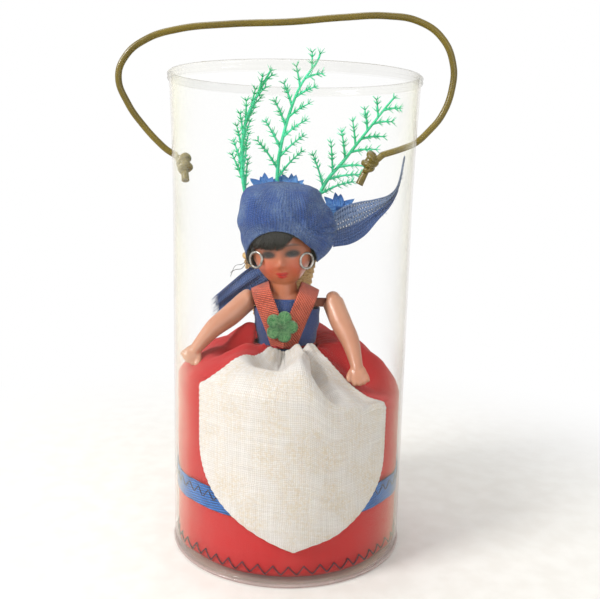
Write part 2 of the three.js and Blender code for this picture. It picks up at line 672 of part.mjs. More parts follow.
function addArm(name, side) {
  const top = shoulder(side);
  const path = ARM_PATH.map(({ share, bend }) => (
    new THREE.Vector3(side * bend * ELBOW_BEND, 0, -share * ARM_LENGTH)
  ));
  const radii = [UPPER_ARM_RADIUS, UPPER_ARM_RADIUS, ELBOW_RADIUS, WRIST_RADIUS, WRIST_RADIUS];
  const limb = taperedTube(path, radii, 8, 6);
  const hand = ellipsoid(HAND_RADII, [0, 0, -ARM_LENGTH], 8, 6);
  const thumb = ellipsoid(THUMB_RADII, [0, 0, 0], 6, 4)
    .rotateY(side * THREE.MathUtils.degToRad(THUMB_LEAN))
    .translate(-side * HAND_RADII[0], 0, -ARM_LENGTH);
  const turn = new THREE.Quaternion().setFromUnitVectors(
    new THREE.Vector3(0, 0, -1),
    handPlace(side).sub(top).normalize(),
  );
  const reach = joined([limb, hand, thumb].map((piece) => toSolid(piece.applyQuaternion(turn))));
  const ballRadii = [SHOULDER_HALF_WIDTH, SHOULDER_RADIUS, SHOULDER_RADIUS];
  const ball = toSolid(ellipsoid(ballRadii, [0, 0, 0], 12, 8));
  const face = -side * SHOULDER_DEPTH;
  const past = [face, -side * CUTTER].sort((a, b) => a - b);
  const trim = toSolid(block([past[0], -CUTTER, -CUTTER], [past[1], CUTTER, CUTTER]));
  const size = ELASTIC_SOCKET_RADIUS;
  const drill = new THREE.CylinderGeometry(size, size, 2 * ELASTIC_SOCKET_DEPTH, 12);
  const socket = toSolid(drill.rotateZ(Math.PI / 2).translate(face, 0, 0));
  const arm = reach.add(ball).subtract(trim).subtract(socket);
  add(name, toGeometry(arm).translate(top.x, top.y, top.z), 0xd9a07c, 0.42);
}

function addElastic() {
  const half = [ELASTIC_THICKNESS / 2, ELASTIC_HEIGHT / 2];
  add('arm_elastic', block(
    [armFace(-1) - ELASTIC_REACH, -half[0], SHOULDER_Z - half[1]],
    [armFace(1) + ELASTIC_REACH, half[0], SHOULDER_Z + half[1]],
  ), 0x7a4a3a, 0.7);
}

// Hair, headscarf and earrings

/** How far the scarf's lower edge is below its middle, at a turn round the head. */
function scarfEdge(turn) {
  const ahead = -Math.sin(turn);
  return ahead > 0
    ? SCARF_SIDE_DROP - SCARF_FRONT_LIFT * ahead ** SCARF_FRONT_ARCH
    : SCARF_SIDE_DROP - SCARF_BACK_DROP * ahead;
}

/** Point of the scarf's form, shrunk by an inset, at a turn round the head and a height from its middle. */
function scarfPoint(turn, height, inset) {
  const depth = Math.sin(turn) < 0 ? SCARF_FRONT : SCARF_BACK;
  const reach = height > 0 ? SCARF_TOP - inset : SCARF_BOTTOM;
  const share = Math.min(1, Math.abs(height) / reach);
  const power = height > 0 ? SCARF_SQUARENESS : 1;
  const width = (1 - share ** (2 / power)) ** (power / 2);
  return new THREE.Vector3(
    SCARF.x + (SCARF_HALF_WIDTH - inset) * width * Math.cos(turn),
    SCARF.y + (depth - inset) * width * Math.sin(turn),
    SCARF.z + height,
  );
}

/** Rows of points from the crown of a form down to an edge that varies round the head. */
function crownGrid(pointAt, topHeight, edgeAt, [sides, steps]) {
  return Array.from({ length: steps + 1 }, (_, row) => (
    Array.from({ length: sides }, (_unused, column) => {
      const turn = (2 * Math.PI * column) / sides;
      const share = 1 - Math.cos((Math.PI / 2) * (row / steps) ** CROWN_SPACING);
      return pointAt(turn, THREE.MathUtils.lerp(topHeight, -edgeAt(turn), share));
    })
  ));
}

function addScarfCap() {
  const outer = crownGrid((turn, height) => scarfPoint(turn, height, 0), SCARF_TOP, scarfEdge, SCARF_GRID);
  const inner = crownGrid(
    (turn, height) => scarfPoint(turn, height, SCARF_THICKNESS),
    SCARF_TOP - SCARF_THICKNESS,
    scarfEdge,
    SCARF_GRID,
  );
  add('headscarf_cap', sheet(outer, inner, true), 0x2f4c93, 0.85);
}

function addHair() {
  const inset = SCARF_THICKNESS + HAIR_GAP;
  const edge = (turn) => {
    const ahead = Math.max(0, -Math.sin(turn)) ** FRINGE_NARROWS;
    return scarfEdge(turn) + THREE.MathUtils.lerp(-HAIR_TUCK, FRINGE_SHOWS, ahead);
  };
  const crown = SCARF_TOP - inset;
  const outer = crownGrid((turn, height) => scarfPoint(turn, height, inset), crown, edge, HAIR_GRID);
  const scalp = (turn, height) => {
    const rise = height + SCARF.z - HEAD.z;
    const reach = HEAD_HALF_HEIGHT + HAIR_GAP;
    const width = Math.sqrt(Math.max(0, 1 - (rise / reach) ** 2));
    return new THREE.Vector3(
      HEAD.x + (HEAD_HALF_WIDTH + HAIR_GAP) * width * Math.cos(turn),
      HEAD.y + (HEAD_HALF_DEPTH + HAIR_GAP) * width * Math.sin(turn),
      HEAD.z + rise,
    );
  };
  const inner = crownGrid(scalp, HEAD_HALF_HEIGHT + HAIR_GAP + HEAD.z - SCARF.z, edge, HAIR_GRID);
  add('hair_wig', sheet(outer, inner, true), 0x191816, 0.9);
}

function addScarfTail(name, upperPoints, lowerPoints) {
  const upper = new THREE.CatmullRomCurve3(upperPoints.map(vector));
  const lower = new THREE.CatmullRomCurve3(lowerPoints.map(vector));
  const [rows, columns] = TAIL_GRID;
  const grid = (push) => Array.from({ length: rows + 1 }, (_, i) => (
    Array.from({ length: columns + 1 }, (_unused, j) => {
      const point = upper.getPoint(i / rows).lerp(lower.getPoint(i / rows), j / columns);
      point.add(new THREE.Vector3(SCARF.x, SCARF.y + push, SCARF.z));
      point.x = toTube(point.x, SCARF_HALF_WIDTH);
      return point;
    })
  ));
  add(name, sheet(grid(-TAIL_THICKNESS / 2), grid(TAIL_THICKNESS / 2)), 0x2f4c93, 0.85);
}

function addEarring(name, side) {
  const turn = THREE.MathUtils.degToRad(EARRING_TURN);
  const width = Math.sqrt(1 - (EARRING_DROP / HEAD_HALF_HEIGHT) ** 2);
  const stand = EARRING_WIRE / 2 + FIT_GAP;
  const out = new THREE.Vector3(
    (side * Math.sin(turn)) / HEAD_HALF_WIDTH,
    -Math.cos(turn) / HEAD_HALF_DEPTH,
    0,
  ).normalize();
  const place = new THREE.Vector3(
    HEAD.x + side * HEAD_HALF_WIDTH * width * Math.sin(turn),
    HEAD.y - HEAD_HALF_DEPTH * width * Math.cos(turn),
    HEAD.z - EARRING_DROP,
  ).addScaledVector(out, stand);
  const ring = new THREE.TorusGeometry(EARRING_RADIUS, EARRING_WIRE / 2, 6, 18);
  ring.applyQuaternion(new THREE.Quaternion().setFromUnitVectors(new THREE.Vector3(0, 0, 1), out));
  add(name, ring.translate(place.x, place.y, place.z), 0xb9b9bb, 0.3, 0.9);
}

// Bodice, straps, tie and felt flower

function addBodice() {
  const cloth = torso(BODICE_OFFSET).subtract(torso(FIT_GAP));
  const low = toSolid(block([-CUTTER, -CUTTER, -CUTTER], [CUTTER, CUTTER, WAIST_Z]));
  const high = toSolid(block([-CUTTER, -CUTTER, WAIST_Z + NECKLINE_RISE], [CUTTER, CUTTER, CUTTER]));
  add('bodice', toGeometry(cloth.subtract(low).subtract(high)), 0x33508f, 0.85);
}

/** Strap that follows the body over the shoulder and down to the waist, front and back. */
function addStrap(name, side) {
  const shoulderTop = SHOULDER_RISE + SHOULDER_RADIUS;
  const fall = shoulderTop - STRAP_VEE_RISE;
  const half = (STRAP_WIDTH / 2) * Math.hypot(1, STRAP_SHOULDER_X / fall);
  const middleAt = (rise) => (STRAP_SHOULDER_X * (rise - STRAP_VEE_RISE)) / fall;
  const miterX = FIT_GAP / 2;
  const miterRise = STRAP_VEE_RISE + (fall * (miterX + half)) / STRAP_SHOULDER_X;
  const over = shoulderTop + CUTTER;
  const outline = [
    [STRAP_SHOULDER_X - half, over],
    [STRAP_SHOULDER_X + half, over],
    [STRAP_SHOULDER_X + half, shoulderTop],
    [middleAt(STRAP_END_RISE) + half, STRAP_END_RISE],
    [miterX, STRAP_END_RISE],
    [miterX, miterRise],
    [STRAP_SHOULDER_X - half, shoulderTop],
  ].map(([x, rise]) => new THREE.Vector2(side * x, rise));
  const band = new THREE.ExtrudeGeometry(new THREE.Shape(outline), { depth: CUTTER, bevelEnabled: false });
  band.translate(DOLL_X, WAIST_Z, -CUTTER / 2);
  band.applyMatrix4(new THREE.Matrix4().makeBasis(
    new THREE.Vector3(1, 0, 0),
    new THREE.Vector3(0, 0, 1),
    new THREE.Vector3(0, -1, 0),
  ));
  const cover = torso(STRAP_OFFSET).subtract(torso(STRAP_OFFSET - STRAP_THICKNESS));
  const ribbon = cover.intersect(toSolid(band));
  const clear = ribbon.subtract(neck(FIT_GAP)).subtract(head(FIT_GAP)).subtract(elasticSlot());
  add(name, toGeometry(clear), 0xb8453a, 0.75);
}

function addWaistTie() {
  const [halfWidth, halfDepth] = torsoSection(TIE_RISE);
  const out = STRAP_OFFSET + FIT_GAP + TIE_DIAMETER / 2;
  const middle = new THREE.Vector3(DOLL_X, 0, WAIST_Z + TIE_RISE);
  const rings = ellipse(middle, halfWidth + out, halfDepth + out, 24).map((point) => {
    const outward = point.clone().sub(middle).normalize();
    return Array.from({ length: 5 }, (_, j) => {
      const turn = (2 * Math.PI * j) / 5;
      const ring = point.clone().addScaledVector(outward, (TIE_DIAMETER / 2) * Math.cos(turn));
      ring.z += (TIE_DIAMETER / 2) * Math.sin(turn);
      return ring;
    });
  });
  add('waist_tie', loft(rings, true), 0x9c2b2b, 0.8);
}

function addFeltFlower() {
  const outline = new THREE.Shape();
  for (let i = 0; i < FLOWER_LOBES; i += 1) {
    const turn = (2 * Math.PI * i) / FLOWER_LOBES + Math.PI / 2;
    const spread = THREE.MathUtils.degToRad(FLOWER_LOBE_ARC);
    const x = FLOWER_LOBE_PLACE * Math.cos(turn);
    const y = FLOWER_LOBE_PLACE * Math.sin(turn);
    outline.absarc(x, y, FLOWER_LOBE_RADIUS, turn - spread / 2, turn + spread / 2, false);
  }
  const options = { depth: FLOWER_THICKNESS, bevelEnabled: false, curveSegments: 5 };
  const felt = new THREE.ExtrudeGeometry(outline, options);
  const deepest = Math.max(...TORSO_SECTIONS.slice(3).map((section) => section.halfDepth));
  const back = deepest + STRAP_OFFSET + FIT_GAP;
  felt.rotateX(Math.PI / 2).translate(DOLL_X + FLOWER_SIDE, -back, WAIST_Z + FLOWER_RISE);
  add('felt_flower', felt, 0x3f8a4c, 0.95);
}

// Skirt, ribbon and apron

/** Curve of the skirt at a turn round the doll, between the two nearest that are given. */
function skirtCurve(turn) {
  const degrees = THREE.MathUtils.euclideanModulo(THREE.MathUtils.radToDeg(turn) + 180, 360) - 180;
  const next = SKIRT_CURVES.findIndex((curve) => curve.turn > degrees);
  const [low, high] = [SKIRT_CURVES[next - 1], SKIRT_CURVES[next]];
  const share = smooth(low.turn, high.turn, degrees);
  const mixed = Object.keys(low).map((key) => [key, THREE.MathUtils.lerp(low[key], high[key], share)]);
  return Object.fromEntries(mixed);
}

/** Point of the skirt as it spreads with no hand on it; share and lift are those of skirtPoint. */
function spreadPoint(turn, share, lift) {
  const side = skirtCurve(turn);
  const waistOut = BODICE_OFFSET + FIT_GAP + SKIRT_WAIST_EASE + SKIRT_THICKNESS;
  const [waistWidth, waistDepth] = torsoSection(0).map((half) => half + waistOut);
  const waist = 1 / Math.hypot(Math.cos(turn) / waistWidth, Math.sin(turn) / waistDepth);
  const wall = WAIST_Z + side.wall;
  const curve = new THREE.CubicBezierCurve(
    new THREE.Vector2(waist, WAIST_Z),
    new THREE.Vector2(side.innerReach, WAIST_Z + side.inner),
    new THREE.Vector2(SKIRT_RADIUS - side.outerReach, WAIST_Z + side.outer),
    new THREE.Vector2(SKIRT_RADIUS, wall),
  );
  const onWall = share > 1;
  const point = curve.getPoint(Math.min(share, 1));
  const tangent = onWall ? new THREE.Vector2(0, -1) : curve.getTangent(share);
  if (onWall) point.y = THREE.MathUtils.lerp(wall, FLOOR_Z, share - 1);
  const fade = onWall ? 0 : Math.sin(Math.PI * share) ** 2;
  const fold = SKIRT_FOLD_DEPTH * fade * Math.cos(SKIRT_FOLDS * turn);
  point.add(new THREE.Vector2(-tangent.y, tangent.x).multiplyScalar(lift + fold));
  const offAxis = DOLL_X * (1 - smooth(waist, SKIRT_RADIUS, point.x));
  return new THREE.Vector3(offAxis + point.x * Math.cos(turn), point.x * Math.sin(turn), point.y);
}

/** Where a hand rests, and how far it presses the skirt down there. */
function handDent(side) {
  const hand = handPlace(side);
  const turn = Math.atan2(hand.y, hand.x - DOLL_X);
  const apart = (point) => Math.hypot(point.x - hand.x, point.y - hand.y);
  const below = Array.from({ length: 41 }, (_, i) => spreadPoint(turn, i / 40, 0))
    .reduce((near, point) => (apart(point) < apart(near) ? point : near));
  return { hand, depth: Math.max(0, below.z + HAND_STAND - hand.z) };
}

const HAND_DENTS = [handDent(-1), handDent(1)];

/** Point of the skirt, lifted off its outer face: share 0 is the waist, 1 the wall and 2 the hem. */
function skirtPoint(turn, share, lift) {
  const place = spreadPoint(turn, share, lift);
  const pressed = HAND_DENTS.reduce((sum, { hand, depth }) => {
    const apart = Math.hypot(place.x - hand.x, place.y - hand.y) / HAND_DENT_SPREAD;
    return sum + depth * Math.exp(-(apart ** 2) / 2);
  }, 0);
  place.z -= pressed * Math.min(1, 2 - share);
  return place;
}

function addSkirt() {
  const shares = Array.from({ length: SKIRT_STEPS + 1 }, (_, i) => i / SKIRT_STEPS).concat([2]);
  const turns = Array.from({ length: SKIRT_SIDES_ROUND }, (_, j) => (2 * Math.PI * j) / SKIRT_SIDES_ROUND);
  const grid = (lift) => shares.map((share) => turns.map((turn) => skirtPoint(turn, share, lift)));
  add('skirt', sheet(grid(0), grid(-SKIRT_THICKNESS), true), 0xc4242c, 0.85);
  const inside = RIBBON_OUTER - RIBBON_THICKNESS;
  const top = RIBBON_HEIGHT + RIBBON_WIDTH;
  add('skirt_ribbon', lathe([
    [inside, RIBBON_HEIGHT],
    [RIBBON_OUTER, RIBBON_HEIGHT],
    [RIBBON_OUTER, top],
    [inside, top],
    [inside, RIBBON_HEIGHT],
  ], SKIRT_SIDES_ROUND), 0x35589f, 0.7);
}

/** Half the apron's spread, in degrees, at a height on the wall. */
function apronHalfTurn(height) {
  const below = (APRON_POINT_HEIGHT + APRON_CURVE_RISE - height) / APRON_CURVE_RISE;
  return APRON_HALF_TURN * (1 - THREE.MathUtils.clamp(below, 0, 1) ** APRON_CURVE);
}

/** How far the apron's folds lift it off the skirt, across it and along the way to the wall. */
function apronLift(across, share) {
  const next = Math.max(1, APRON_FOLDS.findIndex((fold) => fold.across >= across));
  const [low, high] = [APRON_FOLDS[next - 1], APRON_FOLDS[next]];
  const lift = THREE.MathUtils.lerp(low.lift, high.lift, smooth(low.across, high.across, across));
  const rise = smooth(-APRON_FOLD_PEAK, APRON_FOLD_PEAK, share);
  return lift * rise * (1 - smooth(APRON_FOLD_PEAK, 1, share));
}

function addApron() {
  const onSkirt = Array.from({ length: SKIRT_STEPS + 1 }, (_, i) => (
    THREE.MathUtils.lerp(APRON_GATHER_START, 1, i / SKIRT_STEPS)
  ));
  const clearOfRibbon = APRON_OUTER - APRON_THICKNESS - SKIRT_RADIUS;
  const wallTop = skirtPoint(-Math.PI / 2, 1, 0).z;
  const wallShare = (height) => 2 - (height - FLOOR_Z) / (wallTop - FLOOR_Z);
  const tip = wallShare(APRON_POINT_HEIGHT);
  const onWall = Array.from({ length: APRON_DROP_STEPS }, (_, i) => (
    THREE.MathUtils.lerp(1, tip, Math.sin(((i + 1) / APRON_DROP_STEPS) * (Math.PI / 2)))
  ));
  const halfTurn = (share) => {
    const spread = smooth(APRON_SPREAD_START, 1, share);
    if (share <= 1) return THREE.MathUtils.lerp(APRON_GATHER_HALF_TURN, APRON_HALF_TURN, spread);
    return Math.max(apronHalfTurn(THREE.MathUtils.lerp(wallTop, FLOOR_Z, share - 1)), APRON_TIP_HALF_TURN);
  };
  const grid = (lift) => [...onSkirt, ...onWall].map((share) => (
    Array.from({ length: APRON_COLUMNS + 1 }, (_, j) => {
      const across = (2 * j) / APRON_COLUMNS - 1;
      const turn = THREE.MathUtils.degToRad(-90 + APRON_TURN + across * halfTurn(share));
      return skirtPoint(turn, share, clearOfRibbon + apronLift(across, share) + lift);
    })
  ));
  add('apron', sheet(grid(APRON_THICKNESS), grid(0)), 0xe6dfd2, 0.9);
}

// Back basket, ferns and paper flowers

/** Middle of the inside of the basket's floor; the basket stands on the back of the skirt. */
function basketFloor() {
  const middle = new THREE.Vector3(DOLL_X + BASKET_X, BASKET_Y, 0);
  let top = -Infinity;
  for (let j = 0; j < 4 * SKIRT_SIDES_ROUND; j += 1) {
    const turn = (2 * Math.PI * j) / (4 * SKIRT_SIDES_ROUND);
    for (let share = 0; share <= 1; share += 0.05) {
      const point = skirtPoint(turn, share, 0);
      const apart = Math.hypot(point.x - middle.x, point.y - middle.y);
      if (apart < BASKET_BASE_RADIUS) top = Math.max(top, point.z);
    }
  }
  middle.z = top + FIT_GAP + BASKET_WALL;
  return middle;
}

function addBasket(floor) {
  const foot = floor.z - BASKET_WALL;
  const basket = lathe([
    [0, 0],
    [BASKET_BASE_RADIUS, 0],
    [BASKET_MOUTH_RADIUS, BASKET_HEIGHT],
    [BASKET_MOUTH_RADIUS - BASKET_WALL, BASKET_HEIGHT],
    [BASKET_BASE_RADIUS - BASKET_WALL, BASKET_WALL],
    [0, BASKET_WALL],
  ], 28);
  add('back_basket', basket.translate(floor.x, floor.y, foot), 0xc9a46a, 0.85);
}

/** Flat plastic frond: a tapering stem with side branches that alternate left and right. */
function addFern({ name, stem, branches, branchLength, branchTurn }, floor) {
  const root = floor.clone().add(new THREE.Vector3(0, 0, FIT_GAP));
  const curve = new THREE.CatmullRomCurve3(stem.map((point) => {
    const place = vector(point).add(root);
    place.x = toTube(place.x, SCARF_HALF_WIDTH);
    return place;
  }));
  const pieces = [taperedTube(curve.points, [FERN_STEM_RADIUS, FERN_STEM_RADIUS, FERN_TIP_RADIUS], 5, 12)];
  const facing = new THREE.Vector3(0, 1, 0);
  for (let i = 0; i < branches; i += 1) {
    const along = (i + 0.5) / branches;
    const share = THREE.MathUtils.lerp(FERN_BARE_SHARE, FERN_LAST_SHARE, along);
    const turn = THREE.MathUtils.degToRad(branchTurn) * (i % 2 === 0 ? 1 : -1);
    const way = curve.getTangentAt(share).applyAxisAngle(facing, turn);
    const start = curve.getPointAt(share);
    const length = branchLength * (1 - FERN_BRANCH_TAPER * along);
    const end = start.clone().addScaledVector(way, length);
    const middle = start.clone().lerp(end, 0.5);
    pieces.push(taperedTube([start, middle, end], [FERN_BRANCH_RADIUS, FERN_TIP_RADIUS], 4, 1));
  }
  add(name, toGeometry(joined(pieces.map(toSolid))), 0x2fae6c, 0.45);
}

function addPaperFlower({ name, stalk }, floor) {
  const star = new THREE.Shape(Array.from({ length: 2 * PAPER_PETALS }, (_, i) => {
    const turn = (Math.PI * i) / PAPER_PETALS;
    const radius = i % 2 === 0 ? PAPER_FLOWER_RADIUS : PAPER_FLOWER_HEART;
    return new THREE.Vector2(Math.sin(turn), Math.cos(turn)).multiplyScalar(radius);
  }));
  const root = floor.clone().add(new THREE.Vector3(0, 0, FIT_GAP));
  const points = stalk.map((point) => vector(point).add(root));
  const middle = points.at(-1);
  const petals = new THREE.ExtrudeGeometry(star, { depth: PAPER_THICKNESS, bevelEnabled: false })
    .rotateX(Math.PI / 2 - THREE.MathUtils.degToRad(PAPER_FLOWER_LEAN))
    .translate(middle.x, middle.y, middle.z);
  const stem = taperedTube(points, [PAPER_STEM_RADIUS, PAPER_STEM_RADIUS], 5, 6);
  add(name, toGeometry(toSolid(petals).add(toSolid(stem))), 0x2f62b8, 0.8);
}

addTube();
addHandle();
addBody();
addArm('arm_left', -1);
addArm('arm_right', 1);
addElastic();
addHair();
addScarfCap();
addScarfTail('headscarf_tail_right', RIGHT_TAIL_UPPER, RIGHT_TAIL_LOWER);
addScarfTail('headscarf_tail_left', LEFT_TAIL_UPPER, LEFT_TAIL_LOWER);
addEarring('earring_left', -1);
addEarring('earring_right', 1);
addBodice();
addStrap('strap_left', -1);
addStrap('strap_right', 1);
addWaistTie();
addFeltFlower();
addSkirt();
addApron();
const floor = basketFloor();
addBasket(floor);
FERNS.forEach((fern) => addFern(fern, floor));
PAPER_FLOWERS.forEach((flower) => addPaperFlower(flower, floor));

export default model;
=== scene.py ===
"""Looks of a folk costume doll in a clear display tube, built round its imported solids.

Lengths are in millimetres, and MM turns them into the frame's metres. Z is up and the doll faces -Y.
Left and right are those of someone facing the doll.
"""

import logging
import math
import random
from dataclasses import dataclass
from enum import Enum
from typing import Sequence

import bmesh
import bpy
import numpy as np
from mathutils import Matrix, Vector, noise


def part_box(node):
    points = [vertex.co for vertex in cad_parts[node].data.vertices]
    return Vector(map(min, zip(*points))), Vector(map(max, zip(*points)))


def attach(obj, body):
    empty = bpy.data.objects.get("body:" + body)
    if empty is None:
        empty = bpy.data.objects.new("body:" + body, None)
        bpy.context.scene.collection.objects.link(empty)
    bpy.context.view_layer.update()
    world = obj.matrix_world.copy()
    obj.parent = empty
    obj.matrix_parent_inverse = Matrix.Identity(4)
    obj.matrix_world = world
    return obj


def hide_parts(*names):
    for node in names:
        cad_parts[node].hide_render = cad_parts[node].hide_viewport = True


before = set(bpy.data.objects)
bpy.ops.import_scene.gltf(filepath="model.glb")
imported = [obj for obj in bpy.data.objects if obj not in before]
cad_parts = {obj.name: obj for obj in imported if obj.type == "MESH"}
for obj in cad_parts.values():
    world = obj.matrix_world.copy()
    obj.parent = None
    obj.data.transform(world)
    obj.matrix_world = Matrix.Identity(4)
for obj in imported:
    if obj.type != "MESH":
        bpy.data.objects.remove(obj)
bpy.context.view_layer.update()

LOG = logging.getLogger("doll")
MM = 0.001
FLAT_UV = "flat"  # millimetres on the cloth before it is hung
IMAGE_WIDTH = 600  # pixels
Pair = tuple[float, float]
Point = tuple[float, float, float]
Paint = tuple[int, int, int]  # as seen on a screen, 0 to 255
Array = np.ndarray
Piece = bpy.types.Object
Tree = bpy.types.NodeTree
Node = bpy.types.Node
Socket = bpy.types.NodeSocket


class Body(Enum):
    """Bodies of the frame that pieces ride on."""

    DISPLAY = "display"
    HANDLE = "handle"
    LEFT_ARM = "left_arm"
    RIGHT_ARM = "right_arm"
    LEFT_EARRING = "left_earring"
    RIGHT_EARRING = "right_earring"


class Side(Enum):
    """Side of the doll, by the sign of X there."""

    LEFT = -1
    RIGHT = 1


# Small sums


def ramp(low: float, high: float, value: Array) -> Array:
    """Rises smoothly from 0 at low to 1 at high."""
    share = np.clip((np.asarray(value, float) - low) / (high - low), 0, 1)
    return share * share * (3 - 2 * share)


def hump(value: Array, middle: float, spread: float) -> Array:
    """Smooth hump of height 1 round a middle."""
    return np.exp(-(((value - middle) / spread) ** 2))


def lopsided(value: Array, middle: Array, before: float, after: float) -> Array:
    """Smooth hump of height 1 that spreads differently before and after its middle."""
    away = value - middle
    return np.exp(-((away / np.where(away < 0, before, after)) ** 2))


def hump_at(x: Array, z: Array, middle: Pair, spread: Pair) -> Array:
    """Smooth hump of height 1 round a place on the face."""
    return hump(x, middle[0], spread[0]) * hump(z, middle[1], spread[1])


def unit(vectors: Array) -> Array:
    """The same directions with length 1."""
    size = np.linalg.norm(vectors, axis=-1, keepdims=True)
    return vectors / np.maximum(size, 1e-9)


def circle(count: int) -> Array:
    """Angles of places spaced evenly round a circle."""
    return np.linspace(0, 2 * np.pi, count, endpoint=False)


def oval(x: Array, wide: Array, deep: Array, turn: Array, z: Array) -> Array:
    """Points round an upright line at x, so wide along X and so deep along Y, at a turn and a height."""
    return np.stack(np.broadcast_arrays(x + wide * np.cos(turn), deep * np.sin(turn), z), axis=-1)


def ripple(points: Array, size: float, seed: int) -> Array:
    """Smooth noise at each point.

    Args:
        points: places, in millimetres.
        size: distance between its humps.
        seed: picks another pattern.

    Returns:
        Values from about -1 to 1, one for each point.
    """
    places = points.reshape(-1, 3) / size + 17.3 * seed
    values = np.array([noise.noise(Vector(place)) for place in places])
    return values.reshape(points.shape[:-1])


def smooth_path(points: Sequence[Sequence[float]], count: int) -> Array:
    """Evenly spaced points on a smooth curve through the given ones.

    Args:
        points: points that the curve passes through.
        count: how many points come back.

    Returns:
        Array of points.
    """
    given = np.asarray(points, float)
    ends = np.vstack([2 * given[0] - given[1], given, 2 * given[-1] - given[-2]])
    t = np.linspace(0, 1, 12, endpoint=False)[:, None]
    rows = []
    for a, b, c, d in zip(ends, ends[1:], ends[2:], ends[3:]):
        bend = (2 * a - 5 * b + 4 * c - d) * t**2 + (3 * b - a - 3 * c + d) * t**3
        rows.append(b + 0.5 * ((c - a) * t + bend))
    fine = np.vstack([*rows, given[-1:]])
    along = np.concatenate([[0], np.cumsum(np.linalg.norm(np.diff(fine, axis=0), axis=1))])
    wanted = np.linspace(0, along[-1], count)
    return np.stack([np.interp(wanted, along, column) for column in fine.T], axis=1)


def sweep(path: Array, radii: float | Sequence[float], sides: int) -> Array:
    """Rings round a path, as the skin of a tube.

    Args:
        path: points along the middle of the tube.
        radii: one radius, or one for each point.
        sides: points in each ring.

    Returns:
        Array of rings by sides by 3.
    """
    path = np.asarray(path, float)
    ways = unit(np.gradient(path, axis=0))
    across = np.cross(ways[0], (0.31, 0.52, 0.79))
    turn = circle(sides)[:, None]
    rings = []
    for place, way, radius in zip(path, ways, np.broadcast_to(radii, len(path))):
        across = unit(across - way * np.dot(across, way))
        beside = np.cross(way, across)
        rings.append(place + radius * (np.cos(turn) * across + np.sin(turn) * beside))
    return np.array(rings)


def ellipsoid(middle: Point, radii: Point, columns: int = 24, rows: int = 16) -> Array:
    """Rings of an ellipsoid, from its top to its bottom.

    Args:
        middle: its centre.
        radii: along X, Y and Z.
        columns: points in each ring.
        rows: how many rings.

    Returns:
        Array of rings by points by 3.
    """
    fall = np.linspace(0.001, np.pi - 0.001, rows)[:, None]
    ball = oval(0, np.sin(fall), np.sin(fall), circle(columns), np.cos(fall))
    return ball * np.array(radii) + np.array(middle)


def normals_of(points: Array, around: bool) -> Array:
    """Outward normals of a grid whose rows run down and whose columns run anticlockwise.

    Args:
        points: rows by columns by 3.
        around: whether the last column joins the first.

    Returns:
        Array of unit vectors.
    """
    if around:
        across = np.roll(points, -1, axis=1) - np.roll(points, 1, axis=1)
    else:
        across = np.gradient(points, axis=1)
    return unit(np.cross(np.gradient(points, axis=0), across))


def grid_area(points: Array) -> float:
    """Area of a grid's faces, in square metres."""
    across, down = np.diff(points, axis=1)[:-1], np.diff(points, axis=0)[:, :-1]
    return float(np.linalg.norm(np.cross(across, down), axis=2).sum()) * MM**2


def put(name: str, data: bpy.types.ID) -> Piece:
    """Adds an object to the scene, at the origin.

    Args:
        name: its name.
        data: its mesh, curve, camera or lamp.

    Returns:
        The object.
    """
    thing = bpy.data.objects.new(name, data)
    bpy.context.scene.collection.objects.link(thing)
    return thing


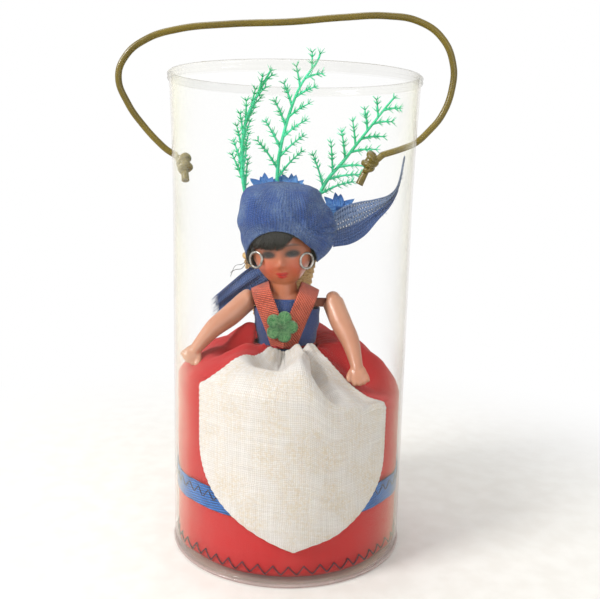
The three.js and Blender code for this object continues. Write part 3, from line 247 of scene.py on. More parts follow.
class Skin:
    """Points and faces of one piece, gathered in millimetres before they become a mesh."""

    def __init__(self) -> None:
        """Starts with nothing."""
        self.points: list[Array] = []
        self.faces: list[tuple[int, ...]] = []
        self.flat: list[Pair] = []
        self.count = 0

    def grid(self, points: Array, flat: Array | None = None, around: bool = False) -> None:
        """Adds a grid of points and joins neighbours with faces.

        Args:
            points: rows by columns by 3.
            flat: rows by columns by 2, places on the flat cloth; worked out if left out.
            around: whether the last column joins the first.
        """
        rows, columns = points.shape[:2]
        looped = np.concatenate([points, points[:, :1]], axis=1) if around else points
        if flat is None:
            wide = np.linalg.norm(np.diff(looped, axis=1), axis=2).mean(axis=0)
            long = np.linalg.norm(np.diff(looped, axis=0), axis=2).mean(axis=1)
            u = np.concatenate([[0], np.cumsum(wide)])
            v = np.concatenate([[0], np.cumsum(long)])
            flat = np.stack(np.meshgrid(u, v), axis=2)
        for i in range(rows - 1):
            for j in range(looped.shape[1] - 1):
                corners = ((i, j), (i + 1, j), (i + 1, j + 1), (i, j + 1))
                self.faces.append(tuple(self.count + r * columns + c % columns for r, c in corners))
                self.flat.extend(tuple(flat[r, c]) for r, c in corners)
        self.points.append(points.reshape(-1, 3))
        self.count += rows * columns

    def cap(self, ring: Array, middle: Array, flip: bool) -> None:
        """Closes a ring with a fan of triangles to a middle.

        Args:
            ring: points of the ring.
            middle: where the triangles meet.
            flip: whether the faces look the other way.
        """
        size = len(ring)
        for j in range(size):
            pair = (self.count + j, self.count + (j + 1) % size)
            self.faces.append((*(pair[::-1] if flip else pair), self.count + size))
            self.flat.extend([(0.0, 0.0)] * 3)
        self.points.append(np.vstack([ring, middle[None]]))
        self.count += size + 1

    def tube(self, path: Array, radii: float | Sequence[float], sides: int = 8) -> None:
        """Adds a closed tube along a path."""
        self.loft(sweep(path, radii, sides))

    def loft(self, rings: Array) -> None:
        """Adds a closed skin over a row of rings.

        Args:
            rings: rings by points by 3.
        """
        self.grid(rings, around=True)
        self.cap(rings[0], rings[0].mean(axis=0), flip=False)
        self.cap(rings[-1], rings[-1].mean(axis=0), flip=True)

    def build(self, name: str, finish: "Finish") -> Piece:
        """Makes the object, with shared points joined and every face smooth.

        Args:
            name: the piece's name.
            finish: what its surface is.

        Returns:
            The new object, at the origin.
        """
        mesh = bpy.data.meshes.new(name)
        mesh.from_pydata((np.concatenate(self.points) * MM).tolist(), [], self.faces)
        mesh.uv_layers.new(name=FLAT_UV).data.foreach_set("uv", np.array(self.flat, np.float32).ravel())
        work = bmesh.new()
        work.from_mesh(mesh)
        bmesh.ops.remove_doubles(work, verts=work.verts, dist=1e-4 * MM)
        work.to_mesh(mesh)
        work.free()
        mesh.shade_smooth()
        mesh.materials.append(finish.material())
        return put(name, mesh)


def apply_modifiers(piece: Piece) -> None:
    """Makes what the modifiers give the piece's own mesh.

    Args:
        piece: a piece with modifiers.
    """
    graph = bpy.context.evaluated_depsgraph_get()
    made = bpy.data.meshes.new_from_object(piece.evaluated_get(graph))
    piece.modifiers.clear()
    piece.data = made


def thicken(piece: Piece, thickness: float) -> Piece:
    """Gives a sheet its thickness, half of it on either side.

    Args:
        piece: a sheet of one layer.
        thickness: in millimetres.

    Returns:
        The same piece.
    """
    layer = piece.modifiers.new("thickness", "SOLIDIFY")
    layer.thickness = thickness * MM
    layer.offset = 0.0
    return piece


def fuse(piece: Piece, voxel: float, rounds: int) -> Piece:
    """Joins a moulding's overlapping forms into one soft skin.

    Args:
        piece: the forms.
        voxel: fineness, in millimetres.
        rounds: how often the skin is softened.

    Returns:
        The same piece.
    """
    join = piece.modifiers.new("join", "REMESH")
    join.mode = "VOXEL"
    join.voxel_size = voxel * MM
    join.use_smooth_shade = True
    soften = piece.modifiers.new("soften", "SMOOTH")
    soften.factor = 0.5
    soften.iterations = rounds
    apply_modifiers(piece)
    return piece


def settle(piece: Piece, finish: "Finish", *nodes: str, body: Body = Body.DISPLAY) -> Piece:
    """Puts a piece on its body and says which solids it stands for.

    Args:
        piece: a piece that is in place.
        finish: not used.
        nodes: solids that it stands for.
        body: what it moves with.

    Returns:
        The same piece.
    """
    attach(piece, body.value)
    if nodes:
        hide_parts(*nodes)
    LOG.info("%s rides on %s and stands for %s", piece.name, body.value, ", ".join(nodes) or "no solid")
    return piece


def lay(
    name: str, grid: Array, finish: "Finish", thickness: float, *nodes: str,
    flat: Array | None = None, around: bool = False
) -> Piece:
    """Makes a piece of cloth from a grid and settles it on the display.

    Args:
        name: the piece's name.
        grid: points of the middle of the cloth.
        finish: what its surface is.
        thickness: in millimetres.
        nodes: solids that it stands for.
        flat: places on the flat cloth; worked out if left out.
        around: whether its last column joins the first.

    Returns:
        The piece.
    """
    skin = Skin()
    skin.grid(grid, flat, around)
    return settle(thicken(skin.build(name, finish), thickness), finish, *nodes)


# Shader nodes


def paint(red: int, green: int, blue: int) -> tuple[float, float, float, float]:
    """A colour as seen on a screen, 0 to 255, as the shader's numbers.

    Args:
        red: 0 to 255.
        green: 0 to 255.
        blue: 0 to 255.

    Returns:
        Linear red, green and blue, and 1.
    """
    shares = [value / 255 for value in (red, green, blue)]
    linear = [s / 12.92 if s <= 0.04045 else ((s + 0.055) / 1.055) ** 2.4 for s in shares]
    return (*linear, 1.0)


class Nodes:
    """Short ways to add nodes to a tree and join them."""

    def __init__(self, tree: Tree) -> None:
        """Works on one tree."""
        self.tree = tree

    def feed(self, socket: Socket, value: object) -> None:
        """Joins a socket to another one, or sets its value.

        Args:
            socket: an input.
            value: a value or another node's output.
        """
        if isinstance(value, Socket):
            self.tree.links.new(value, socket)
        else:
            socket.default_value = value

    def fill(self, node: Node, **sockets: object) -> None:
        """Joins or sets a node's inputs, with _ for a space in their names."""
        for key, value in sockets.items():
            self.feed(node.inputs[key.replace("_", " ")], value)

    def add(self, kind: str, settings: dict | None = None, **sockets: object) -> Node:
        """Adds a node.

        Args:
            kind: the node's type.
            settings: its own properties.
            sockets: values or sockets for its inputs, with _ for a space in their names.

        Returns:
            The node.
        """
        node = self.tree.nodes.new(kind)
        for key, value in (settings or {}).items():
            setattr(node, key, value)
        self.fill(node, **sockets)
        return node

    def sum(self, operation: str, *values: object) -> Socket:
        """A Math node's result.

        Args:
            operation: what the node works out.
            values: values or sockets, in order.

        Returns:
            The result.
        """
        node = self.tree.nodes.new("ShaderNodeMath")
        node.operation = operation
        for socket, value in zip(node.inputs, values):
            self.feed(socket, value)
        return node.outputs[0]

    def mix(self, share: object, low: object, high: object) -> Socket:
        """A colour between two others.

        Args:
            share: 0 for the first and 1 for the second.
            low: the first colour.
            high: the second colour.

        Returns:
            The colour.
        """
        node = self.tree.nodes.new("ShaderNodeMix")
        node.data_type = "RGBA"
        for socket, value in zip((node.inputs[0], node.inputs[6], node.inputs[7]), (share, low, high)):
            self.feed(socket, value)
        return node.outputs[2]

    def remap(self, value: object, old: Pair, new: Pair) -> Socket:
        """A value brought smoothly from one range to another.

        Args:
            value: value or socket.
            old: range that it comes from.
            new: range that it goes to.

        Returns:
            The new value.
        """
        settings = {"interpolation_type": "SMOOTHSTEP"}
        node = self.add("ShaderNodeMapRange", settings, Value=value)
        for name, limit in zip(("From Min", "From Max", "To Min", "To Max"), (*old, *new)):
            node.inputs[name].default_value = limit
        return node.outputs["Result"]

    def noise(self, place: object, scale: float, detail: float = 2.0) -> Socket:
        """Smooth noise from 0 to 1 at a place."""
        return self.add("ShaderNodeTexNoise", Vector=place, Scale=scale, Detail=detail).outputs[0]

    def seen(self) -> Socket:
        """1 for rays that show a surface to the camera, directly or mirrored, and 0 for others.

        Returns:
            The value.
        """
        rays = self.add("ShaderNodeLightPath").outputs
        mirrored = self.sum("MAXIMUM", rays["Is Glossy Ray"], rays["Is Transmission Ray"])
        return self.sum("MAXIMUM", rays["Is Camera Ray"], mirrored)

    def group(self, tree: Tree, **sockets: object) -> Node:
        """Adds a node group with its own values."""
        return self.add("ShaderNodeGroup", {"node_tree": tree}, **sockets)


def new_group(name: str, given: dict[str, float], made: Sequence[str]) -> tuple[Nodes, Node, Node]:
    """Starts a node group of values.

    Args:
        name: the group's name.
        given: its inputs and their usual values.
        made: its outputs.

    Returns:
        The group's nodes, its input node and its output node.
    """
    tree = bpy.data.node_groups.new(name, "ShaderNodeTree")
    for label, usual in given.items():
        socket = tree.interface.new_socket(name=label, in_out="INPUT", socket_type="NodeSocketFloat")
        socket.default_value = usual
    for label in made:
        tree.interface.new_socket(name=label, in_out="OUTPUT", socket_type="NodeSocketFloat")
    nodes = Nodes(tree)
    return nodes, nodes.add("NodeGroupInput"), nodes.add("NodeGroupOutput")


def flat_place(nodes: Nodes) -> tuple[Socket, Socket]:
    """Both places on the flat cloth, in millimetres.

    Args:
        nodes: the tree's nodes.

    Returns:
        Across and along the cloth.
    """
    flat = nodes.add("ShaderNodeUVMap", {"uv_map": FLAT_UV})
    split = nodes.add("ShaderNodeSeparateXYZ", Vector=flat.outputs[0])
    return split.outputs["X"], split.outputs["Y"]


def join_place(nodes: Nodes, u: object, v: object) -> Socket:
    """A place from two numbers."""
    return nodes.add("ShaderNodeCombineXYZ", X=u, Y=v).outputs[0]


def make_weave_group() -> Tree:
    """Plain weave: threads over and under each other, gaps between them, and slubs along them.

    Returns:
        The group's tree.
    """
    nodes, given, made = new_group("plain_weave", {"Threads": 2.0}, ("Height", "Gap", "Slub"))
    u, v = flat_place(nodes)
    wander = nodes.noise(join_place(nodes, u, v), 0.12)
    u = nodes.sum("MULTIPLY", nodes.sum("ADD", u, wander), given.outputs["Threads"])
    v = nodes.sum("MULTIPLY", nodes.sum("ADD", v, wander), given.outputs["Threads"])
    crowns = []
    for own, other, sign in ((u, v, 0.5), (v, u, -0.5)):
        row = nodes.sum("FLOOR", own)
        wave = nodes.sum("SINE", nodes.sum("MULTIPLY", nodes.sum("ADD", other, row), math.pi))
        over = nodes.sum("MULTIPLY_ADD", wave, sign, 0.5)
        thread = nodes.sum("ABSOLUTE", nodes.sum("SINE", nodes.sum("MULTIPLY", own, math.pi)))
        crowns.append((thread, nodes.sum("MULTIPLY", thread, over)))
    (warp, warp_crown), (weft, weft_crown) = crowns
    nodes.fill(made, Height=nodes.sum("MAXIMUM", warp_crown, weft_crown))
    nodes.fill(made, Gap=nodes.sum("SUBTRACT", 1.0, nodes.sum("MAXIMUM", warp, weft)))
    slow_u, slow_v = (nodes.sum("MULTIPLY", value, 0.03) for value in (u, v))
    down = nodes.noise(join_place(nodes, u, slow_v), 1.0)
    across = nodes.noise(join_place(nodes, slow_u, v), 1.0)
    slub = nodes.sum("MULTIPLY_ADD", nodes.sum("ADD", down, across), 1.4, -0.9)
    nodes.fill(made, Slub=slub)
    return nodes.tree


def make_mottle_group() -> Tree:
    """Cloudy patches of wear or fading over a piece, at two sizes.

    Returns:
        The group's tree.
    """
    nodes, given, made = new_group("mottle", {"Scale": 100.0}, ("Patch", "Speck"))
    place = nodes.add("ShaderNodeTexCoord").outputs["Object"]
    for label, times, detail in (("Patch", 1.0, 3.0), ("Speck", 9.0, 4.0)):
        scale = nodes.sum("MULTIPLY", given.outputs["Scale"], times)
        cloud = nodes.add("ShaderNodeTexNoise", Vector=place, Scale=scale, Detail=detail).outputs[0]
        nodes.feed(made.inputs[label], nodes.remap(cloud, (0.3, 0.7), (0.0, 1.0)))
    return nodes.tree


def make_streak_group() -> Tree:
    """Streaks that run along a drawn or grown piece, such as cord, straw or hair.

    Returns:
        The group's tree.
    """
    nodes, given, made = new_group("streaks", {"Across": 4.0, "Along": 0.2}, ("Streak",))
    u, v = flat_place(nodes)
    across = nodes.sum("MULTIPLY", u, given.outputs["Across"])
    along = nodes.sum("MULTIPLY", v, given.outputs["Along"])
    cloud = nodes.noise(join_place(nodes, across, along), 1.0, 3.0)
    nodes.fill(made, Streak=nodes.remap(cloud, (0.3, 0.7), (0.0, 1.0)))
    return nodes.tree


def make_rib_group() -> Tree:
    """Ribs of a woven ribbon, each a row of small stitches.

    Returns:
        The group's tree.
    """
    nodes, given, made = new_group("ribs", {"Ribs": 2.0, "Slant": 0.0}, ("Height", "Shade"))
    u, v = flat_place(nodes)
    slanted = nodes.sum("MULTIPLY_ADD", u, given.outputs["Slant"], v)
    place = nodes.sum("MULTIPLY", slanted, given.outputs["Ribs"])
    rib = nodes.sum("ABSOLUTE", nodes.sum("SINE", nodes.sum("MULTIPLY", place, math.pi)))
    grain = nodes.noise(join_place(nodes, nodes.sum("MULTIPLY", u, 5.0), place), 1.0)
    nodes.fill(made, Height=nodes.sum("MULTIPLY_ADD", grain, 0.5, rib))
    # Shade: each rib's crown lighter than its grooves, painted shade, varied by the grain
    nodes.fill(made, Shade=nodes.sum("MULTIPLY", rib, nodes.remap(grain, (0.25, 0.75), (0.35, 1.0))))
    return nodes.tree


def make_spot_group() -> Tree:
    """Spot of face paint or of painted shade: an oval, bent up or down at its ends, with a soft edge.

    Returns:
        The group's tree.
    """
    usual = {"X": 0.0, "Z": 0.0, "Middle X": 0.0, "Middle Z": 0.0, "Half width": 1.0, "Half height": 1.0}
    nodes, given, made = new_group("painted_spot", usual | {"Bend": 0.0, "Soft": 0.2}, ("Mask",))
    value = given.outputs
    aside = nodes.sum("SUBTRACT", value["X"], value["Middle X"])
    arch = nodes.sum("MULTIPLY", nodes.sum("MULTIPLY", aside, aside), value["Bend"])
    above = nodes.sum("SUBTRACT", nodes.sum("SUBTRACT", value["Z"], value["Middle Z"]), arch)
    wide = nodes.sum("DIVIDE", aside, value["Half width"])
    tall = nodes.sum("DIVIDE", above, value["Half height"])
    squares = nodes.sum("ADD", nodes.sum("MULTIPLY", wide, wide), nodes.sum("MULTIPLY", tall, tall))
    far = nodes.sum("SQRT", squares)
    edge = nodes.sum("DIVIDE", nodes.sum("SUBTRACT", far, 1.0), value["Soft"])
    nodes.fill(made, Mask=nodes.remap(edge, (-1.0, 1.0), (1.0, 0.0)))
    return nodes.tree


WEAVE = make_weave_group()
MOTTLE = make_mottle_group()
STREAKS = make_streak_group()
RIBS = make_rib_group()
SPOT = make_spot_group()


# Finishes


@dataclass(frozen=True)
class Finish:
    """What a surface is: its colours, its shine, and the record's slot that it belongs to."""

    name: str
    slot: str
    colour: Paint
    shade: Paint
    roughness: float = 0.6

    def material(self) -> bpy.types.Material:
        """The material, made when it is first asked for.

        Returns:
            The material.
        """
        name = f"{self.name}_finish"
        found = bpy.data.materials.get(name)
        if found:
            return found
        material = bpy.data.materials.new(name)
        material.use_nodes = True
        material.node_tree.nodes.clear()
        nodes = Nodes(material.node_tree)
        shader = nodes.add("ShaderNodeBsdfPrincipled", Roughness=self.roughness)
        nodes.add("ShaderNodeOutputMaterial", Surface=shader.outputs[0])
        self.dress(nodes, shader)
        return material

    def dress(self, nodes: Nodes, shader: Node) -> None:
        """Fills in the surface; plain mottled colour unless a finish does more."""
        mottle = nodes.group(MOTTLE, Scale=120.0)
        nodes.fill(shader, Base_Color=self.tint(nodes, mottle.outputs["Patch"]))

    def tint(self, nodes: Nodes, share: object) -> Socket:
        """The finish's colour where share is 1 and its shade where it is 0."""
        return nodes.mix(share, paint(*self.shade), paint(*self.colour))

    def emboss(self, nodes: Nodes, shader: Node, height: object, depth: float) -> None:
        """Lets a height show as relief, in millimetres."""
        relief = nodes.add("ShaderNodeBump", Height=height, Strength=1.0, Distance=depth * MM)
        nodes.fill(shader, Normal=relief.outputs[0])


@dataclass(frozen=True)
class ClothFinish(Finish):
    """Woven cloth."""

    threads: float = 3.0  # to the millimetre
    relief: float = 0.12
    slub: float = 0.5  # how much single threads show
    wear: Paint = (128, 128, 128)
    wear_share: float = 0.25
    cloud: float = 0.0  # how much whole patches are faded
    opening: float = 0.0  # how far the gaps between threads are see-through
    sheen: float = 0.25

    def dress(self, nodes: Nodes, shader: Node) -> None:
        """Threads, slubs, fading and, where the weave is open, its gaps.

        Args:
            nodes: the material's nodes.
            shader: its Principled node.
        """
        weave = nodes.group(WEAVE, Threads=self.threads)
        mottle = nodes.group(MOTTLE, Scale=130.0)
        height, slub = weave.outputs["Height"], weave.outputs["Slub"]
        # thread crowns lighter and the hollows between threads darker: painted shade, with the slubs' own
        # tone
        lit = nodes.sum("MULTIPLY_ADD", height, 1.0 - self.slub, nodes.sum("MULTIPLY", slub, self.slub))
        colour = self.tint(nodes, nodes.sum("ADD", lit, 0.15))
        patch = nodes.sum("MULTIPLY", mottle.outputs["Patch"], mottle.outputs["Speck"])
        worn = nodes.sum("MULTIPLY", patch, self.wear_share)
        if self.cloud:
            worn = nodes.sum("MULTIPLY_ADD", mottle.outputs["Patch"], self.cloud, worn)
        faded = nodes.mix(worn, colour, paint(*self.wear))
        nodes.fill(shader, Base_Color=faded)
        rough = nodes.remap(slub, (0.0, 1.0), (self.roughness - 0.08, self.roughness + 0.08))
        nodes.fill(shader, Roughness=rough, Sheen_Weight=self.sheen, Sheen_Roughness=0.5)
        self.emboss(nodes, shader, nodes.sum("MULTIPLY_ADD", slub, 0.6, height), self.relief)
        if self.opening:
            hole = nodes.remap(weave.outputs["Gap"], (0.25, 0.6), (1.0, 1.0 - self.opening))
            nodes.fill(shader, Alpha=hole)


@dataclass(frozen=True)
class RibbonFinish(Finish):
    """Ribbed ribbon."""

    ribs: float = 2.0  # to the millimetre
    slant: float = 0.0
    relief: float = 0.12
    glint: float = 0.0  # metal thread between the ribs

    def dress(self, nodes: Nodes, shader: Node) -> None:
        """Ribs with a painted lighter crown and darker grooves, and metal thread where the ribbon has some.

        Args:
            nodes: the material's nodes.
            shader: its Principled node.
        """
        ribs = nodes.group(RIBS, Ribs=self.ribs, Slant=self.slant)
        mottle = nodes.group(MOTTLE, Scale=220.0)
        # painted shade of the ribs, with mottled tone
        lit = nodes.sum("MULTIPLY_ADD", mottle.outputs["Patch"], 0.3, ribs.outputs["Shade"])
        nodes.fill(shader, Base_Color=self.tint(nodes, lit), Sheen_Weight=0.1)
        if self.glint:
            sparkle = nodes.remap(mottle.outputs["Speck"], (0.55, 0.9), (0.0, self.glint))
            nodes.fill(shader, Metallic=sparkle)
            gloss = nodes.remap(mottle.outputs["Speck"], (0.55, 0.9), (self.roughness, 0.35))
            nodes.fill(shader, Roughness=gloss)
        self.emboss(nodes, shader, ribs.outputs["Height"], self.relief)


@dataclass(frozen=True)
class MouldedFinish(Finish):
    """Moulded or drawn plastic, paper or straw: mottled, and streaked along the piece."""

    streak: float = 0.0
    patches: float = 120.0
    relief: float = 0.05
    coat: float = 0.0
    glow: float = 0.0  # light that passes into the plastic

    def dress(self, nodes: Nodes, shader: Node) -> None:
        """Patches, streaks, and a shine that varies with them.

        Args:
            nodes: the material's nodes.
            shader: its Principled node.
        """
        mottle = nodes.group(MOTTLE, Scale=self.patches)
        streak = nodes.group(STREAKS).outputs["Streak"]
        patch, speck = mottle.outputs["Patch"], mottle.outputs["Speck"]
        plain = nodes.sum("MULTIPLY", patch, 1.0 - self.streak)
        lit = nodes.sum("MULTIPLY_ADD", streak, self.streak, plain)
        nodes.fill(shader, Base_Color=self.tint(nodes, lit))
        rough = nodes.remap(speck, (0.0, 1.0), (self.roughness - 0.07, self.roughness + 0.09))
        nodes.fill(shader, Roughness=rough, Coat_Weight=self.coat, Subsurface_Weight=self.glow)
        nodes.fill(shader, Subsurface_Radius=(1.0, 0.5, 0.3), Subsurface_Scale=0.6 * MM)
        self.emboss(nodes, shader, nodes.sum("MULTIPLY_ADD", streak, self.streak, speck), self.relief)


@dataclass(frozen=True)
class WireFinish(Finish):
    """Dull metal wire."""

    def dress(self, nodes: Nodes, shader: Node) -> None:
        """Tarnish in patches on bright metal.

        Args:
            nodes: the material's nodes.
            shader: its Principled node.
        """
        mottle = nodes.group(MOTTLE, Scale=600.0)
        nodes.fill(shader, Metallic=0.85, Base_Color=self.tint(nodes, mottle.outputs["Patch"]))
        limits = (self.roughness - 0.1, self.roughness + 0.15)
        rough = nodes.remap(mottle.outputs["Speck"], (0.0, 1.0), limits)
        nodes.fill(shader, Roughness=rough)


@dataclass(frozen=True)
class ClearFinish(Finish):
    """Slightly yellowed clear plastic, seen through from the front, with a painted reflection where it is
    seen edge-on.
    """

    rim: Paint = (202, 192, 187)  # painted reflection, shown where it is seen edge-on
    front: float = 0.008  # share that hides what is behind
    edge: float = 0.5

    def dress(self, nodes: Nodes, shader: Node) -> None:
        """Smudges, fine scratches, and a veil that thickens towards the edges, where the edge colour is
        painted in as a reflection.

        Args:
            nodes: the material's nodes.
            shader: its Principled node.
        """
        mottle = nodes.group(MOTTLE, Scale=40.0)
        rough = nodes.remap(mottle.outputs["Speck"], (0.2, 1.0), (self.roughness, self.roughness + 0.12))
        nodes.fill(shader, Roughness=rough, Specular_IOR_Level=1.0)
        facing = nodes.add("ShaderNodeLayerWeight", Blend=0.5).outputs["Facing"]
        pale = self.tint(nodes, mottle.outputs["Patch"])
        # painted reflection: the edge colour where the plastic is seen edge-on
        reflection_share = nodes.remap(facing, (0.7, 0.97), (0.0, 1.0))
        nodes.fill(shader, Base_Color=nodes.mix(reflection_share, pale, paint(*self.rim)))
        veil = nodes.remap(nodes.sum("POWER", facing, 2.6), (0.0, 1.0), (self.front, self.edge))
        smudge = nodes.remap(mottle.outputs["Patch"], (0.0, 1.0), (0.85, 1.2))
        nodes.fill(shader, Alpha=nodes.sum("MULTIPLY", veil, smudge))


@dataclass(frozen=True)
class Spot:
    """Spot of face paint or of painted shade, in millimetres from the middle of the head."""

    middle: Pair
    half: Pair
    colour: Paint
    strength: float = 1.0
    bend: float = 0.0
    soft: float = 0.2


# Spots that are on both sides of the face, with the place of the right one
PAIRED_PAINT_AND_SHADE = [
    ((4.9, -7.2), (3.6, 3.0), (196, 74, 52), 0.55, 0.0, 0.9),
    # brown over each eye hollow: painted shade
    ((4.1, -1.2), (3.0, 1.9), (112, 66, 50), 0.55, 0.0, 0.8),
    ((4.1, 0.9), (2.7, 0.42), (66, 42, 36), 0.7, -0.07, 0.6),
    ((4.1, -2.1), (2.4, 1.25), (24, 18, 17), 0.95, -0.03, 0.4),
    ((4.1, -2.3), (1.5, 0.55), (58, 46, 42), 0.45, -0.02, 0.5),
    ((4.0, -2.2), (0.78, 0.78), (24, 20, 20), 0.95, 0.0, 0.25),
    ((0.6, -6.5), (0.35, 0.2), (120, 52, 38), 0.6, 0.0, 0.5),
    ((0.85, -8.85), (1.15, 0.55), (190, 42, 40), 0.95, 0.0, 0.3),
]
FACE_PAINT_AND_SHADE = [
    # painted shadow of the scarf, across the brow and eyes
    Spot((0.0, 2.4), (11.0, 4.6), (116, 58, 38), 0.55, 0.0, 0.9),
    *(Spot((x * side, z), *rest) for (x, z), *rest in PAIRED_PAINT_AND_SHADE for side in (-1, 1)),
    Spot((0.0, -9.85), (1.5, 0.75), (196, 46, 44), 0.95, 0.06, 0.3),
    Spot((0.0, -9.3), (1.9, 0.14), (120, 24, 26), 0.8, 0.05, 0.5),
]


@dataclass(frozen=True)
class FaceFinish(MouldedFinish):
    """Flesh plastic with a painted face, and the scarf's shadow painted over it."""

    head: Point = (0.0, 0.0, 0.0)  # middle of the head
    tilt: float = 0.0  # degrees that the head leans, and turns
    yaw: float = 0.0

    def dress(self, nodes: Nodes, shader: Node) -> None:
        """Paints the spots one over the other on the moulded colour.

        Args:
            nodes: the material's nodes.
            shader: its Principled node.
        """
        super().dress(nodes, shader)
        colour = shader.inputs["Base Color"].links[0].from_socket
        place = nodes.add("ShaderNodeTexCoord").outputs["Object"]
        local = nodes.add("ShaderNodeMapping", {"vector_type": "TEXTURE"}, Vector=place, Scale=(MM, MM, MM))
        turned = (0.0, math.radians(self.tilt), math.radians(self.yaw))
        nodes.fill(local, Location=[value * MM for value in self.head], Rotation=turned)
        split = nodes.add("ShaderNodeSeparateXYZ", Vector=local.outputs[0])
        ahead = nodes.remap(split.outputs["Y"], (-6.0, -3.0), (1.0, 0.0))
        for spot in FACE_PAINT_AND_SHADE:
            mask = nodes.group(
                SPOT, X=split.outputs["X"], Z=split.outputs["Z"],
                Middle_X=spot.middle[0], Middle_Z=spot.middle[1],
                Half_width=spot.half[0], Half_height=spot.half[1], Bend=spot.bend, Soft=spot.soft
            )
            share = nodes.sum("MULTIPLY", nodes.sum("MULTIPLY", mask.outputs["Mask"], ahead), spot.strength)
            colour = nodes.mix(share, colour, paint(*spot.colour))
        nodes.fill(shader, Base_Color=colour)


# The doll's places, as in the solids


@dataclass(frozen=True)
class Figure:
    """Places of the doll that several pieces share."""

    x: float = -2.0  # middle of the torso
    waist: float = 69.0
    floor: float = 3.3
    shoulder: float = 84.5
    head: Point = (-3.4, 0.0, 104.0)
    head_half: Point = (10.5, 11.0, 14.5)
    head_tilt: float = -5.0  # degrees
    head_yaw: float = -3.0
    scarf: Point = (-2.0, 0.0, 108.5)
    left_shoulder: Point = (-15.2, 0.0, 84.5)
    right_shoulder: Point = (14.6, 0.0, 84.5)
    left_hand: Point = (-33.1, -12.6, 67.7)
    right_hand: Point = (23.0, -15.6, 63.3)


FIGURE = Figure()
# Rise above the waist, half width and half depth
TORSO_SECTIONS = [
    (-16, 6, 5.2), (-12, 8.6, 7), (-6.5, 9.2, 7.4), (0, 8.4, 6.2), (8, 9.6, 7), (13, 9.8, 6.4),
    (16, 9.2, 5.4), (18.2, 7.2, 4.2), (19.2, 4.4, 3.2)
]
TORSO = smooth_path(TORSO_SECTIONS, 80)


def torso_half(rise: Array) -> tuple[Array, Array]:
    """Half width and half depth of the torso at a rise above the waist."""
    return np.interp(rise, TORSO[:, 0], TORSO[:, 1]), np.interp(rise, TORSO[:, 0], TORSO[:, 2])


FLESH = FaceFinish(
    "flesh_plastic", "flesh_plastic", (190, 114, 78), (172, 96, 64), 0.36, patches=60.0, relief=0.02,
    coat=0.15, glow=0.12, head=FIGURE.head, tilt=FIGURE.head_tilt, yaw=FIGURE.head_yaw
)
LIMB = MouldedFinish(
    "limb_plastic", "flesh_plastic", (202, 148, 118), (186, 128, 100), 0.36, patches=60.0, relief=0.02,
    coat=0.15, glow=0.12
)
CLEAR = ClearFinish("clear_plastic", "clear_plastic", (238, 236, 208), (226, 222, 196), 0.06)
# bead and foot: seen edge-on they show a darker painted reflection
CLEAR_RIM = ClearFinish(
    "clear_rim", "clear_plastic", (206, 204, 188), (186, 182, 164), 0.08, (128, 118, 100), 0.1, 0.62
)
# reddish brown: the red hem's reflection in the base and the shade under the doll, painted in
CLEAR_BASE_WITH_HEM_REFLECTION = ClearFinish(
    "clear_base_hem_reflection", "clear_plastic", (184, 104, 92), (140, 74, 66), 0.1, (214, 186, 178), 0.36, 0.56
)
# pale band round the flange's side: painted highlight
CLEAR_HIGHLIGHT_LINE = ClearFinish(
    "clear_highlight_line", "clear_plastic", (240, 224, 216), (214, 190, 180), 0.06, (250, 240, 236), 0.4, 0.75
)
CORD = MouldedFinish(
    "pvc_cord", "pvc_cord", (118, 100, 10), (84, 70, 0), 0.32, streak=0.5, patches=60.0, relief=0.002
)
ELASTIC = RibbonFinish("elastic", "elastic", (146, 84, 62), (92, 48, 36), 0.75, ribs=2.5)
HAIR = MouldedFinish("hair", "hair", (52, 50, 46), (20, 19, 18), 0.55, streak=0.8, patches=300.0)
SILVER = WireFinish("silver_wire", "silver_wire", (188, 186, 180), (124, 120, 112), 0.34)
SCARF_BLUE = ClothFinish(
    "scarf_cotton", "blue_cotton", (54, 88, 156), (8, 22, 62), 0.9, threads=1.2, relief=0.35, slub=0.4,
    wear=(112, 136, 166), wear_share=0.55, cloud=0.16, sheen=0.05
)
# lighter copy of the scarf cotton: painted light that offsets the shade on the left end; the turned-up folds
# use it too
LIGHTENED_FOLD_BLUE = ClothFinish(
    "scarf_fold_lightened", "blue_cotton", (84, 110, 164), (18, 34, 74), 0.9, threads=1.2, relief=0.35, sheen=0.05
)
GAUZE_BLUE = ClothFinish(
    "scarf_gauze", "blue_cotton", (122, 142, 178), (14, 28, 66), 0.9, threads=0.95, relief=0.25, slub=0.3,
    wear=(140, 156, 182), opening=0.7, sheen=0.05
)
BODICE_BLUE = ClothFinish(
    "bodice_cotton", "blue_cotton", (52, 78, 134), (26, 42, 90), 0.85, threads=1.6, wear=(80, 98, 132)
)
STRAP_RED = RibbonFinish(
    "strap_ribbon", "strap_ribbon", (228, 108, 78), (108, 28, 22), 0.62, ribs=1.15, slant=0.7, relief=0.3,
    glint=0.35
)
SKIRT_RED = ClothFinish(
    "skirt_cotton", "red_cotton", (208, 32, 36), (170, 18, 24), 0.85, threads=3.4, slub=0.3,
    wear=(204, 62, 58), sheen=0.1
)
RIBBON_BLUE = RibbonFinish(
    "blue_ribbon", "blue_ribbon", (44, 122, 206), (2, 22, 70), 0.7, ribs=1.2, slant=-0.13, relief=0.25
)
APRON_LINEN = ClothFinish(
    "apron_linen", "apron_linen", (237, 233, 229), (190, 182, 174), 0.9, threads=1.6, relief=0.18, slub=0.4,
    wear=(210, 186, 144), wear_share=0.5
)
FELT_GREEN = ClothFinish(
    "green_felt", "green_felt", (66, 144, 80), (24, 82, 40), 0.95, threads=2.2, relief=0.3, slub=0.8,
    wear=(140, 190, 130), wear_share=0.7
)
RED_THREAD = RibbonFinish("red_thread", "red_thread", (178, 34, 38), (96, 14, 20), 0.7, ribs=1.6, slant=1.0)
